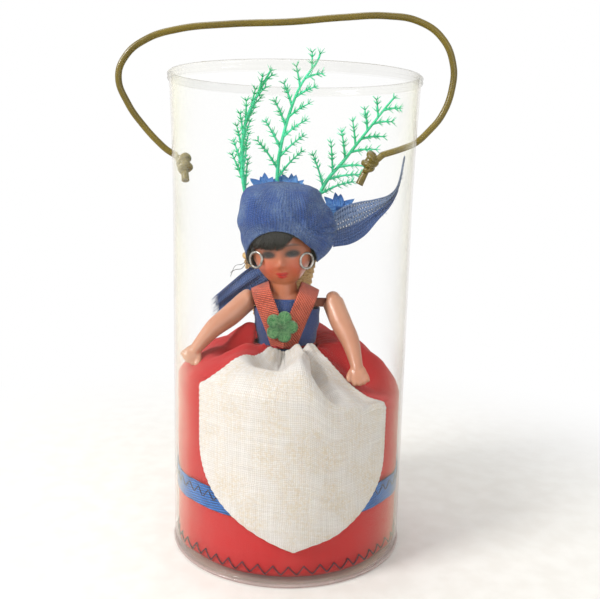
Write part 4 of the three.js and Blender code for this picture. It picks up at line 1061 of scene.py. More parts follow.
DARK_THREAD = RibbonFinish("dark_thread", "blue_ribbon", (50, 48, 66), (20, 19, 32), 0.7, ribs=1.8, slant=1.0)
STRAW = MouldedFinish(
    "straw", "straw", (222, 190, 132), (160, 118, 66), 0.6, streak=0.7, patches=150.0, relief=0.08
)
FERN = MouldedFinish(
    "fern_plastic", "fern_plastic", (78, 222, 168), (36, 190, 128), 0.45, patches=80.0, glow=0.2
)
PAPER = MouldedFinish(
    "blue_paper", "blue_paper", (104, 162, 216), (36, 84, 166), 0.75, streak=0.6, patches=120.0, relief=0.1
)


# Display tube and its handle


@dataclass(frozen=True)
class DisplayTube:
    """Clear tube with a flared, beaded mouth, on a clear base."""

    radius: float = 40.0
    wall: float = 0.6
    height: float = 160.0
    foot: float = 1.5
    flare: float = 1.1
    flare_start: float = 115.0
    bead_height: float = 3.0
    bead_lip: float = 0.5
    hole_radius: float = 1.8
    hole_heights: Pair = (133.6, 139.2)
    seam_turn: float = 222.0  # degrees round to the glued overlap
    seam_width: float = 15.0
    seam_step: float = 0.14
    columns: int = 180

    def inner(self, height: Array) -> Array:
        """Inside radius at a height."""
        share = np.clip((height - self.flare_start) / (self.height - self.flare_start), 0, 1)
        return self.radius - self.wall + self.flare * share**1.5

    def ring(self, radius: float, height: float, is_outer: bool) -> Array:
        """One ring of the wall; outside, the overlap stands proud.

        Args:
            radius: of the plain wall.
            height: above the table.
            is_outer: whether it is outside.

        Returns:
            Array of points.
        """
        turn = circle(self.columns)
        proud = np.zeros(self.columns)
        if is_outer:
            degrees = np.degrees(turn)
            lap = np.abs(degrees - self.seam_turn) < self.seam_width / 2
            proud[lap] = self.seam_step
        reach = radius + proud
        return oval(0, reach, reach, turn, height)

    def build_wall(self) -> Piece:
        """Wall with its bead, drilled for the cord.

        Returns:
            The wall.
        """
        bead_foot = self.height - self.bead_height
        straight, flared = np.linspace(self.foot, self.flare_start, 24), np.linspace(120, bead_foot - 0.4, 14)
        heights = np.concatenate([straight, flared])
        rings = [self.ring(self.inner(z) + self.wall, z, True) for z in heights]
        for share in np.linspace(0, 1, 13):
            z = bead_foot + share * (self.height - 0.3 - bead_foot)
            lip = self.bead_lip * abs(math.sin(2 * math.pi * share)) ** 0.6
            rings.append(self.ring(self.inner(z) + self.wall + 0.12 + lip, z, True))
        rings.append(self.ring(self.inner(self.height) + self.wall / 2, self.height, False))
        rings += [self.ring(self.inner(z), z, False) for z in [self.height - 0.3, *heights[::-1]]]
        skin = Skin()
        skin.grid(np.array([*rings, rings[0]])[::-1], around=True)
        tube = skin.build("tube_wall", CLEAR)
        for sign, height in zip((-1, 1), self.hole_heights):
            drill = Skin()
            ends = [(sign * reach, 0, height) for reach in (self.radius - 4, self.radius + 4)]
            drill.tube(np.linspace(*ends, 3), self.hole_radius, 24)
            bit = drill.build(f"drill_{sign}", CLEAR)
            cut = tube.modifiers.new("drill", "BOOLEAN")
            cut.operation = "DIFFERENCE"
            cut.solver = "EXACT"
            cut.object = bit
            apply_modifiers(tube)
            bpy.data.objects.remove(bit)
        # the bead and the foot take the darker painted edge reflection
        tube.data.materials.append(CLEAR_RIM.material())
        for face in tube.data.polygons:
            if face.center.z > bead_foot * MM or face.center.z < (self.foot + 0.1) * MM:
                face.material_index = 1
        return settle(tube, CLEAR, "clear_tube")

    def build_base(self) -> Piece:
        """Base disc with a rounded flange, a plug and moulded rings underneath, and a painted highlight round
        the flange's side.

        Returns:
            The base.
        """
        plug = self.radius - self.wall - 0.3
        flange = self.radius + 0.4
        profile = [(0.02, 0.4), (8, 0.4), (8.6, 0.0), (10, 0.0), (10.6, 0.4), (34, 0.4), (34.8, 0.0)]
        profile += [(flange - 1.0, 0.0), (flange - 0.5, 0.1), (flange - 0.15, 0.3), (flange, 0.6)]
        profile += [(flange, 0.9), (flange - 0.1, 1.1), (flange - 0.35, 1.2)]
        profile += [(plug, 1.2), (plug, 1.9), (plug - 0.1, 2.1), (plug - 0.3, 2.15)]
        profile += [(34, 2.15), (33.4, 2.9), (33, 3.0), (0.02, 3.0)]
        rings = np.array([self.ring(radius, height, False) for radius, height in profile])
        skin = Skin()
        skin.loft(rings[::-1])
        base = skin.build("tube_foot", CLEAR_BASE_WITH_HEM_REFLECTION)
        # the flange's side takes the painted highlight
        base.data.materials.append(CLEAR_HIGHLIGHT_LINE.material())
        for face in base.data.polygons:
            if face.center.xy.length > (plug + 0.2) * MM and face.center.z > 0.5 * MM:
                face.material_index = 1
        return settle(base, CLEAR_BASE_WITH_HEM_REFLECTION, "tube_base")


# Middle of the cord from hole to hole, as in the solids
HANDLE_ROUTE = [
    (-39.4, 0, 133.3), (-40.7, 0, 134), (-42.2, 0, 134.9), (-44.8, 0, 137.1), (-50, 0, 142.6),
    (-55.3, 0, 150), (-58.2, 0, 158.3), (-55.7, 0, 164.9), (-49, 0, 170.3), (-39, 0, 173.6),
    (-22.5, 0, 175.6), (-1.8, 0, 176.8), (14.8, 0, 178.5), (29.7, 0, 179.3), (39.8, 0, 177.8),
    (47.5, 0, 172.9), (51.6, 0, 164.8), (51.7, 0, 156.9), (48.9, 0, 148.4), (44.8, 0, 143.1),
    (40.2, 0, 138.9), (36.8, 0, 137.4), (32.8, 0, 136), (29.3, 0, 134.9)
]


@dataclass(frozen=True)
class CordHandle:
    """Stiff hollow cord that goes through both holes and is knotted inside."""

    diameter: float = 2.2
    length: float = 0.198  # metres, between the knots
    bore: float = 0.9
    bore_depth: float = 2.0
    knot_reach: float = 2.7  # middle of a knot from the cord's end
    knot_drop: float = 1.4
    knot_half: float = 3.5
    left_tail: float = 2.9
    right_tail: float = 5.0
    knot_shift: float = 0.4  # clear of the tube's wall
    turn_slant: float = 0.9
    turn_radius: float = 1.35
    cross_radius: float = 1.75
    left_hang: Point = (0.12, -0.5, -0.86)
    right_hang: Point = (-0.42, 0.0, -0.91)

    def build_cord(self) -> Piece:
        """The cord, a curve along its route.

        Returns:
            The cord.
        """
        curve = bpy.data.curves.new("handle_line", "CURVE")
        curve.dimensions = "3D"
        curve.bevel_depth = self.diameter / 2 * MM
        curve.bevel_resolution = 5
        curve.resolution_u = 10
        curve.use_fill_caps = True
        line = curve.splines.new("BEZIER")
        line.bezier_points.add(len(HANDLE_ROUTE) - 1)
        for point, place in zip(line.bezier_points, HANDLE_ROUTE):
            point.co = Vector(place) * MM
            point.handle_left_type = "AUTO"
            point.handle_right_type = "AUTO"
        curve.materials.append(CORD.material())
        return settle(put("handle_line", curve), CORD, "handle_cord", body=Body.HANDLE)

    def build_knot(self, side: Side) -> Piece:
        """Overhand knot: two turns, a strand that crosses them, and the cut, hollow tail.

        Args:
            side: the end of the cord that it is in.

        Returns:
            The knot.
        """
        is_left = side is Side.LEFT
        end, before = (HANDLE_ROUTE[0], HANDLE_ROUTE[1]) if is_left else (HANDLE_ROUTE[-1], HANDLE_ROUTE[-2])
        inward = unit(np.subtract(end, before))
        way = unit(np.array(self.left_hang if is_left else self.right_hang))
        middle = np.array(end) + inward * (self.knot_reach + self.knot_shift) + way * self.knot_drop
        back = -unit(inward - way * np.dot(inward, way))
        beside = np.cross(way, back)
        # Turn in half circles, distance from the knot's middle line, and place along it
        stations = [
            (0.0, self.turn_radius, -1.0), (0.5, self.turn_radius, -1.8), (1.0, self.turn_radius, -2.0),
            (1.5, self.turn_radius, -1.3), (2.0, self.cross_radius, -0.3), (2.5, self.cross_radius, 0.5),
            (3.0, self.cross_radius, 1.3), (3.5, self.turn_radius, 1.8), (4.0, self.turn_radius, 1.8),
            (4.5, self.turn_radius * 0.7, 2.2)
        ]
        turns = [
            middle
            + way * (rise + self.turn_slant * math.sin(math.pi * turn))
            + reach * (math.cos(math.pi * turn) * back + math.sin(math.pi * turn) * beside)
            for turn, reach, rise in stations
        ]
        tail_end = self.knot_half + (self.left_tail if is_left else self.right_tail)
        tail = [middle + way * reach for reach in (self.knot_half + 0.4, self.knot_half + 2, tail_end)]
        path = smooth_path([np.array(end) - inward * 0.6, *turns, *tail], 110)
        flared = np.interp(np.arange(110), (0, 88, 109), (1, 1, 1.2))
        rings = sweep(path, self.diameter / 2 * flared, 14)
        core = self.bore / self.diameter
        mouth = path[-1] + (rings[-1] - path[-1]) * core
        rings = np.concatenate([rings, mouth[None], (mouth - way * self.bore_depth)[None]])
        skin = Skin()
        skin.loft(rings)
        skin.tube(middle + way * np.linspace(-2.6, 2.8, 5)[:, None], (0.9, 1.8, 2.0, 1.8, 0.9), 12)
        name = f"knot_{side.name.lower()}"
        return settle(skin.build(name, CORD), CORD, f"handle_{name}", body=Body.HANDLE)

    def build(self) -> None:
        """Cord and knots."""
        cord = self.build_cord()
        knots = [self.build_knot(side) for side in Side]


# Moulded body and arms


@dataclass(frozen=True)
class DollBody:
    """Moulded body in two halves, with a painted face."""

    neck_radius: float = 4.2
    jaw_taper: float = 0.2
    leg_spread: float = 4.4
    leg_radii: tuple[float, float, float, float] = (4.1, 3.4, 3.4, 2.5)  # hip, knee, calf and ankle
    foot_radii: Point = (3.1, 6.2, 2.6)
    foot_forward: float = 2.6
    seam: float = 0.12  # gap between the halves
    voxel: float = 0.36

    def head(self) -> Array:
        """Rings of the head with its features, tilted and turned.

        Returns:
            Array of rings by points by 3.
        """
        ball = ellipsoid((0, 0, 0), (1, 1, 1), 170, 120)
        narrow = 1 - self.jaw_taper * np.maximum(0, -ball[..., 2]) ** 2
        half = FIGURE.head_half
        x, y, z = ball[..., 0] * narrow * half[0], ball[..., 1] * narrow * half[1], ball[..., 2] * half[2]
        ahead = ramp(2, 7, -y)
        form = 1.9 * hump_at(x, z, (0, -5.7), (1.3, 1.5)) + 0.7 * hump_at(x, z, (0, -2.6), (1.2, 2.6))
        form += 0.6 * hump_at(x, z, (0, -8.8), (1.8, 0.6)) + 0.7 * hump_at(x, z, (0, -9.9), (1.6, 0.65))
        form -= 0.3 * hump_at(x, z, (0, -9.3), (1.9, 0.25))
        form += 0.5 * hump_at(x, z, (0, -12.4), (2.4, 1.5))
        for side in (-1, 1):
            form += 0.55 * hump_at(x, z, (4.9 * side, -7), (2.8, 2.6))
            form -= 0.75 * hump_at(x, z, (4.1 * side, -2), (2.3, 1.5))
            form += 0.5 * hump_at(x, z, (4.1 * side, -1.6), (1.7, 0.6))
            form += 0.45 * hump_at(x, z, (4.1 * side, 0.9), (2.8, 0.9))
        points = np.stack([x, y - form * ahead, z], axis=2)
        lean = Matrix.Rotation(math.radians(FIGURE.head_tilt), 3, "Y")
        turn = Matrix.Rotation(math.radians(FIGURE.head_yaw), 3, "Z")
        return points @ np.array(turn @ lean).T + np.array(FIGURE.head)

    def torso(self) -> Array:
        """Rings of the torso, from the shoulders down."""
        turn = circle(64)
        return np.array([oval(FIGURE.x, a, b, turn, FIGURE.waist + rise) for rise, a, b in TORSO[::-1]])

    def build(self) -> None:
        """Front and back halves."""
        skin = Skin()
        skin.loft(self.head())
        skin.loft(self.torso())
        neck = np.linspace((FIGURE.head[0], 0, FIGURE.head[2] - 7), (FIGURE.x, 0, FIGURE.shoulder), 6)
        skin.tube(neck, np.linspace(self.neck_radius, self.neck_radius + 0.6, 6), 32)
        for side in (-1, 1):
            x = FIGURE.x + side * self.leg_spread
            ankle = FIGURE.floor + self.foot_radii[2]
            hip = FIGURE.waist - 12
            path = np.stack([np.full(4, x), np.zeros(4), np.linspace(hip, ankle, 4)], axis=1)
            skin.tube(smooth_path(path, 24), np.interp(np.linspace(0, 3, 24), range(4), self.leg_radii), 24)
            skin.loft(ellipsoid((x, -self.foot_forward, ankle), self.foot_radii))
        whole = fuse(skin.build("doll_whole", FLESH), self.voxel, 4)
        for name, sign, node in (("doll_front", 1, "body_front_shell"), ("doll_back", -1, "body_back_shell")):
            half = put(name, whole.data.copy())
            work = bmesh.new()
            work.from_mesh(half.data)
            every = [*work.verts, *work.edges, *work.faces]
            cut = bmesh.ops.bisect_plane(
                work, geom=every, plane_co=(0, -sign * self.seam / 2 * MM, 0), plane_no=(0, sign, 0),
                clear_outer=True
            )
            edges = [item for item in cut["geom_cut"] if isinstance(item, bmesh.types.BMEdge)]
            bmesh.ops.triangle_fill(work, edges=edges, use_beauty=True)
            work.to_mesh(half.data)
            work.free()
            settle(half, FLESH, node)
        bpy.data.objects.remove(whole)
        self.build_elastic()

    def build_elastic(self) -> None:
        """Flat elastic through the shoulders, a little slack on the right."""
        low, high = (np.array(corner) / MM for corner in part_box("arm_elastic"))
        x = np.linspace(low[0], high[0], 40)
        z = np.linspace(high[2], low[2], 9)
        sag = -0.25 * np.sin(np.pi * (x - low[0]) / (high[0] - low[0]))
        points = np.stack(np.meshgrid(x, z), axis=2)
        grid = np.stack([points[..., 0], np.zeros((9, 40)), points[..., 1] + sag], axis=2)
        grid[..., 1] += 0.15 * np.sin(0.9 * grid[..., 0])
        lay("elastic_band", grid, ELASTIC, high[1] - low[1], "arm_elastic")


@dataclass(frozen=True)
class Arm:
    """Moulded arm with a mitten hand, hung on the elastic."""

    side: Side
    length: float
    finger: float  # length of the middle fingers
    bend: float = 1.1
    depth: float = 2.4  # inner face to the middle of the shoulder
    hand_radii: Point = (2.9, 1.6, 3.3)
    finger_radius: float = 0.88
    voxel: float = 0.34

    def build(self) -> None:
        """Limb, hand, fingers and thumb in one moulding."""
        sign = self.side.value
        is_left = self.side is Side.LEFT
        top = np.array(FIGURE.left_shoulder if is_left else FIGURE.right_shoulder)
        hand = np.array(FIGURE.left_hand if is_left else FIGURE.right_hand)
        turn = Vector((0, 0, -1)).rotation_difference(Vector(hand - top))
        spin = np.array(turn.to_matrix()).T
        shares = np.array([0, 0.3, 0.55, 0.8, 0.97])
        bends = np.array([0, 0.3, 1, 0.6, 0]) * self.bend * sign
        path = np.stack([bends, np.zeros(5), -shares * self.length], axis=1)
        skin = Skin()
        radii = np.interp(np.linspace(0, 1, 24), [0, 0.3, 0.55, 0.8, 1], [3.7, 3.7, 3.25, 2.4, 1.9])
        skin.loft(sweep(smooth_path(path, 24), radii, 24) @ spin)
        palm = ellipsoid((0, 0, -self.length + 0.4), self.hand_radii)
        skin.loft(palm @ spin)
        for place in (-1.5, -0.5, 0.5, 1.5):
            root = np.array([place * 1.42, 0.1, -self.length - 0.6])
            long = self.finger - 0.5 * abs(place)
            tip = root + np.array([0.14 * place, 0.5, -long])
            finger = smooth_path([root, (root + tip) / 2 + np.array([0, -0.35, 0]), tip], 9)
            skin.loft(sweep(finger, self.finger_radius * np.array([1] * 6 + [0.96, 0.8, 0.4]), 12) @ spin)
        thumb = np.array([(-sign * 1.8, 0, 1.8), (-sign * 3.3, -0.4, 0), (-sign * 3.8, -0.5, -1.9)])
        thumb = thumb - np.array([0, 0, self.length])
        skin.loft(sweep(smooth_path(thumb, 9), 1.0 * np.array([1] * 6 + [0.95, 0.8, 0.4]), 12) @ spin)
        ball = ellipsoid((0, 0, 0), (3.0, 3.9, 3.9), 32, 24)
        ball[..., 0] = np.maximum(ball[..., 0] * sign, -self.depth) * sign
        skin.loft(ball)
        skin.points = [points + top for points in skin.points]
        name = f"limb_{self.side.name.lower()}"
        piece = fuse(skin.build(name, LIMB), self.voxel, 3)
        body = Body.LEFT_ARM if is_left else Body.RIGHT_ARM
        settle(piece, LIMB, f"arm_{self.side.name.lower()}", body=body)


# Hair, headscarf and earrings


@dataclass(frozen=True)
class Headwear:
    """Hair with a swept fringe, a tied headscarf with two ends, and ring earrings."""

    half_width: float = 16.6
    front: float = 13.4
    back: float = 15.0
    top: float = 16.6
    bottom: float = 15.0
    squareness: float = 0.71
    side_drop: float = 9.4
    front_lift: float = 10.6
    front_arch: float = 1.9
    arch_turn: float = 10.0  # degrees that the arch over the forehead is off the front
    back_drop: float = 0.5
    thickness: float = 0.6
    tail_thickness: float = 0.3
    fold_thickness: float = 0.35
    scalp_thickness: float = 0.4
    hair_room: float = 1.9
    ring_room: float = 1.3  # lift of the edge beside the right earring
    knot_turn: float = 12.0  # degrees round to where the scarf is tied
    strands: int = 900
    wisps: int = 160
    ring_radius: float = 2.6
    ring_aside: float = 0.75
    wire: float = 0.85

    def edge(self, turn: Array) -> Array:
        """How far the scarf's lower edge is below its middle.

        Args:
            turn: radians round the head.

        Returns:
            Drop of the edge.
        """
        ahead = -np.sin(turn + math.radians(self.arch_turn))
        lift = self.front_lift * np.maximum(ahead, 0) ** self.front_arch
        lift = lift + self.ring_room * hump(np.degrees(turn) % 360, 326, 15)
        return self.side_drop - lift + self.back_drop * np.maximum(-ahead, 0)

    def surface(self, turn: Array, height: Array, inset: float) -> Array:
        """Points of the scarf's form at a turn round the head and a height from its middle.

        Args:
            turn: radians round the head.
            height: above the scarf's middle.
            inset: distance inside its face.

        Returns:
            Array of points.
        """
        depth = np.where(np.sin(turn) < 0, self.front, self.back)
        reach = np.where(height > 0, self.top - inset, self.bottom)
        share = np.minimum(1, np.abs(height) / reach)
        power = np.where(height > 0, self.squareness, 1.0)
        width = (1 - share ** (2 / power)) ** (power / 2)
        x, _, z = FIGURE.scarf
        wide, deep = (self.half_width - inset) * width, (depth - inset) * width
        return oval(x, wide, deep, turn, z + height)

    def rows(self, inset: float, drop: float, columns: int, count: int) -> Array:
        """Grid from the crown down to the edge, or past it by a drop.

        Args:
            inset: distance inside the scarf's face.
            drop: how far past the edge.
            columns: points round the head.
            count: how many rows.

        Returns:
            Rows by columns by 3.
        """
        turn = circle(columns)[None, :]
        share = (1 - np.cos(np.pi / 2 * np.linspace(0.003, 1, count) ** 0.78))[:, None]
        height = (self.top - inset) * (1 - share) - (self.edge(turn) + drop) * share
        return self.surface(turn + 0 * share, height, inset)

    def draw_in(self, grid: Array, share: Array) -> Array:
        """Draws cloth in towards the hair.

        Args:
            grid: points of the cloth.
            share: how far each row goes, 1 where it lies on the hair.

        Returns:
            The drawn-in points.
        """
        head, half = np.array(FIGURE.head), np.array(FIGURE.head_half) + self.hair_room
        away = grid - head
        level = np.sqrt(np.maximum(0.05, 1 - (away[..., 2] / half[2]) ** 2))
        reach = level / np.hypot(away[..., 0] / half[0], away[..., 1] / half[1])
        scale = 1 - share * np.maximum(0, 1 - reach)
        return head + away * np.stack([scale, scale, np.ones_like(scale)], axis=2)

    def build_cap(self) -> None:
        """Wrapped part, with folds that gather towards the knot and a turned edge."""
        columns, count = 200, 70
        grid = self.rows(self.thickness / 2, 0.0, columns, count)
        out = normals_of(grid, True)
        knot = self.surface(np.array(math.radians(self.knot_turn)), np.array(1.0), 0.0)
        away = grid - knot
        far = np.linalg.norm(away, axis=2)
        fan = np.arctan2(away[..., 2], -away[..., 0] + 0.6 * away[..., 1])
        folds = 0.9 * np.sin(11 * fan + 2 * ripple(grid, 14, 3)) * np.exp(-far / 15) * ramp(0, 4, far)
        lumps = 0.9 * ripple(grid, 9, 1) + 0.3 * ripple(grid, 3.2, 2)
        aside = np.abs(grid[..., 0] - FIGURE.scarf[0])
        corner = 1.8 * hump(aside, 12, 4) * hump(grid[..., 2], FIGURE.scarf[2] + 12, 4)
        corner = corner * (grid[..., 0] < FIGURE.scarf[0])
        slope = -1.8 * hump(grid[..., 0], 11, 4) * hump(grid[..., 2], FIGURE.scarf[2] + 10, 5)
        pinch = -0.9 * hump(grid[..., 2], FIGURE.scarf[2] - 0.5, 2.6) * ramp(-9, -15, grid[..., 0])
        roll = np.linspace(0, 1, count)[:, None]
        ridge = 0.45 * np.sin(0.55 * (grid[..., 2] - 0.35 * grid[..., 0])) * ramp(0.25, 0.7, roll)
        grid = grid + out * (folds + lumps * 0.6 + ridge * 0.5 + corner + slope + pinch)[..., None]
        loose = 0.8 * ramp(3, 12, grid[..., 0] - FIGURE.scarf[0]) * ramp(-8, -2, grid[..., 1])
        drawn = (1 - loose) * ramp(0.74, 1, roll) ** 1.6 + loose * ramp(0.87, 1.03, roll) ** 1.3
        grid = self.draw_in(grid, drawn)
        skin = Skin()
        skin.grid(grid, around=True)
        skin.cap(grid[0][::-1], grid[0].mean(axis=0), flip=True)
        cap = thicken(skin.build("scarf_wrap", SCARF_BLUE), self.thickness)
        settle(cap, SCARF_BLUE, "headscarf_cap")

    def build_tail(
        self, name: str, node: str, upper: Sequence[Point], lower: Sequence[Point], finish: Finish,
        ruffle: float, frayed: float, seed: int
    ) -> None:
        """One end of the scarf: gauze between two edges, with a solid turned-up fold and a frayed border.

        Args:
            name: the piece's name.
            node: the solid that it stands for.
            upper: points along its upper edge, from the scarf's middle.
            lower: points along its lower edge.
            finish: its weave.
            ruffle: how deep its folds are.
            frayed: how long the loose threads at its end are.
            seed: picks its ripples and threads.
        """
        rng = random.Random(seed)
        rows, columns = 90, 30
        top, foot = smooth_path(upper, rows), smooth_path(lower, rows)
        share = np.linspace(0, 1, columns)[None, :, None]
        grid = top[:, None] * (1 - share) + foot[:, None] * share + np.array(FIGURE.scarf)
        along = np.linspace(0, 1, rows)[:, None]
        steady = ruffle * ramp(0, 0.25, along) * (1 - 0.5 * along)
        wave = np.sin(2.6 * np.pi * share[..., 0] + 3.4 * along)
        wave = wave + 0.6 * np.sin(6.1 * np.pi * share[..., 0] - 2 * along)
        grid[..., 1] += wave * steady + 0.6 * ripple(grid, 5, seed)
        cloth = lay(name, grid, finish, self.tail_thickness, node)
        turned = grid[: rows * 3 // 4, columns * 11 // 20 :] + np.array([0, -0.7, 0])
        fold = lay(f"{name}_fold", turned, LIGHTENED_FOLD_BLUE, self.fold_thickness)
        threads = Skin()
        outer_half = range(rows // 2, rows, 3)
        border = [(grid[i, -1], grid[i, -4], grid[i, -1] - grid[i - 1, -1]) for i in outer_half]
        border += [(grid[-1, j], grid[-4, j], np.zeros(3)) for j in range(columns)] * 3
        for root, inner, drift in border:
            if rng.random() < 0.8:
                stray = np.array([0, rng.uniform(-0.2, 0.2), rng.uniform(-0.3, 0.2)])
                way = unit(root - inner + 0.8 * drift + stray)
                tip = root + way * rng.uniform(0.2, 1.0) * frayed
                bow = np.array([0, rng.uniform(-0.2, 0.2), rng.uniform(-0.25, 0.1)])
                path = smooth_path([root - 0.3 * way, (root + tip) / 2 + bow, tip], 5)
                threads.tube(path, np.linspace(0.1, 0.05, 5), 4)
        fray = settle(threads.build(f"{name}_fray", SCARF_BLUE), SCARF_BLUE)
        long = np.linalg.norm(np.diff((top + foot) / 2, axis=0), axis=1).sum() * MM
        area = grid_area(grid)

    def build_hair(self) -> None:
        """Dark cap under the scarf, and a fringe of strands swept to the left."""
        rng = random.Random(7)
        skin = Skin()
        half = np.array(FIGURE.head_half) + 0.55
        head = np.array(FIGURE.head)
        turn = circle(90)[None, :]
        low = np.where(-np.sin(turn) > 0, 3.5 - 9.5 * (1 - np.maximum(-np.sin(turn), 0) ** 1.2), -7.5)
        low = low + 5.5 * hump(np.degrees(turn), 318, 32)
        rise = half[2] - (half[2] - low) * np.linspace(0.004, 1, 30)[:, None]
        width = np.sqrt(np.maximum(0, 1 - (rise / half[2]) ** 2))
        cap = oval(0, half[0] * width, half[1] * width, turn, rise) + head
        cap += normals_of(cap, True) * (0.3 * ripple(cap, 1.6, 5))[..., None]
        skin.grid(cap, around=True)
        strands = Skin()
        for _ in range(self.strands):
            self.add_strand(strands, rng)
        for k in range(self.wisps):
            aside = -1 if k % 3 else 1
            start = np.array([aside * rng.uniform(9.6, 10.8), rng.uniform(-4.5, 1), rng.uniform(-2.5, 1.5)])
            drop = np.array([aside * rng.uniform(-0.6, 1.2), rng.uniform(-1, 0.5), -rng.uniform(3, 6.5)])
            path = smooth_path([start, start + drop / 2 + np.array([aside * 0.6, 0, 0]), start + drop], 7)
            strands.tube(path + head, np.linspace(0.14, 0.05, 7), 4)
        for lower in (0.0, 1.3):
            loose = [(-10.6, -3, -3), (-13, -4, -6.2 - lower)]
            loose += [(-15.6, -4.2, -7 - lower), (-17.2, -4.4, -10.6 + lower)]
            strands.tube(smooth_path(loose, 24) + head, 0.1, 4)
        scalp = thicken(skin.build("hair_cap", HAIR), self.scalp_thickness)
        fringe = strands.build("hair_fringe", HAIR)
        settle(scalp, HAIR, "hair_wig")
        settle(fringe, HAIR)

    def add_strand(self, skin: Skin, rng: random.Random) -> None:
        """One strand of the fringe, lying on the forehead.

        Args:
            skin: takes the strand.
            rng: picks its place.
        """
        head, half = np.array(FIGURE.head), np.array(FIGURE.head_half)
        x = rng.uniform(-9.6, 7.4)
        end_x = x - rng.uniform(0.8, 2.8)
        start_z = 8.6 - 0.06 * (x + 1.5) ** 2
        end_z = -0.4 + 5.0 * float(ramp(0.5, 7.0, x)) + rng.uniform(-0.5, 1.6)
        end_z = min(end_z + 0.4 * float(ramp(-6, -9, x)), start_z - 0.8)
        stand = rng.uniform(0.35, 1.1)
        path = []
        for share in np.linspace(0, 1, 6):
            px = x + (end_x - x) * share**1.4
            pz = start_z + (end_z - start_z) * share
            reach = max(0.05, 1 - (px / (half[0] + 0.9)) ** 2 - (pz / (half[2] + 0.9)) ** 2)
            depth = half[1] + stand + 0.5 * math.sin(math.pi * share)
            path.append(head + np.array([px, -depth * math.sqrt(reach), pz]))
        skin.tube(np.array(path), np.linspace(0.16, 0.05, 6), 4)

    def build_earring(self, side: Side) -> None:
        """Wire ring whose ends pass each other.

        Args:
            side: the ear that it hangs in.
        """
        low, high = (np.array(corner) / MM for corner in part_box(f"earring_{side.name.lower()}"))
        middle = (low + high) / 2
        out = unit(np.array([self.ring_aside * side.value, -1.0, 0.0]))
        along = np.cross((0, 0, 1), out)
        turn = np.linspace(-0.1, 2 * np.pi + 0.12, 90)
        step = np.linspace(-0.12, 0.12, 90)
        reach = self.ring_radius * (1 + 0.012 * np.sin(3 * turn))
        hoop = np.outer(reach * np.cos(turn), along) + np.outer(reach * np.sin(turn), (0, 0, 1))
        path = middle + (hoop + np.outer(step, out))
        skin = Skin()
        skin.tube(path, self.wire / 2 * np.concatenate([[0.6], np.ones(88), [0.6]]), 12)
        body = Body.LEFT_EARRING if side is Side.LEFT else Body.RIGHT_EARRING
        name = f"ring_{side.name.lower()}"
        settle(skin.build(name, SILVER), SILVER, f"earring_{side.name.lower()}", body=body)

    def build(self) -> None:
        """Everything on the head."""
        self.build_hair()
        self.build_cap()
        right_upper = [
            (16.2, 2.6, 6.6), (19.8, 3.6, 9), (25, 5, 10.5), (30.1, 6, 11.4), (35.4, 7, 13.2),
            (38.4, 8, 17.2), (39.8, 7.4, 25.6)
        ]
        right_lower = [
            (16.2, 2.2, -5), (22, 3.4, -4), (27.1, 4.8, -1), (31.6, 6.4, 4.2), (35.9, 7.4, 9.2),
            (38.8, 8, 16), (40.2, 7.4, 25.2)
        ]
        left_upper = [
            (-5.5, 9.7, -9.4), (-9.5, 9.6, -11.8), (-14.5, 9.3, -15), (-19.8, 9, -19.4), (-24.4, 9, -23.6)
        ]
        left_lower = [(-0.5, 9.7, -16), (-4, 9.6, -21.4), (-11, 9.3, -26), (-16.8, 9, -29.4), (-23.4, 9, -33)]
        self.build_tail(
            "scarf_end_right", "headscarf_tail_right", right_upper, right_lower, GAUZE_BLUE, 0.35, 1.1, 11
        )
        self.build_tail(
            "scarf_end_left", "headscarf_tail_left", left_upper, left_lower, LIGHTENED_FOLD_BLUE, 0.7, 3.0, 12
        )
        for side in Side:
            self.build_earring(side)


# Bodice, straps, tie and felt flower


# Middle of the right strap: distance from the midline, and places, from the waist over the shoulder and down
STRAP_ROUTE = [
    (1.0, -8.3, 69.6), (3.1, -8.5, 76), (5.3, -8.2, 82), (7.4, -6.6, 87), (8.5, -2.6, 89.7), (8.5, 2.4, 89.5),
    (7.2, 6.6, 86), (5, 8.3, 80.5), (1.2, 8, 70)
]


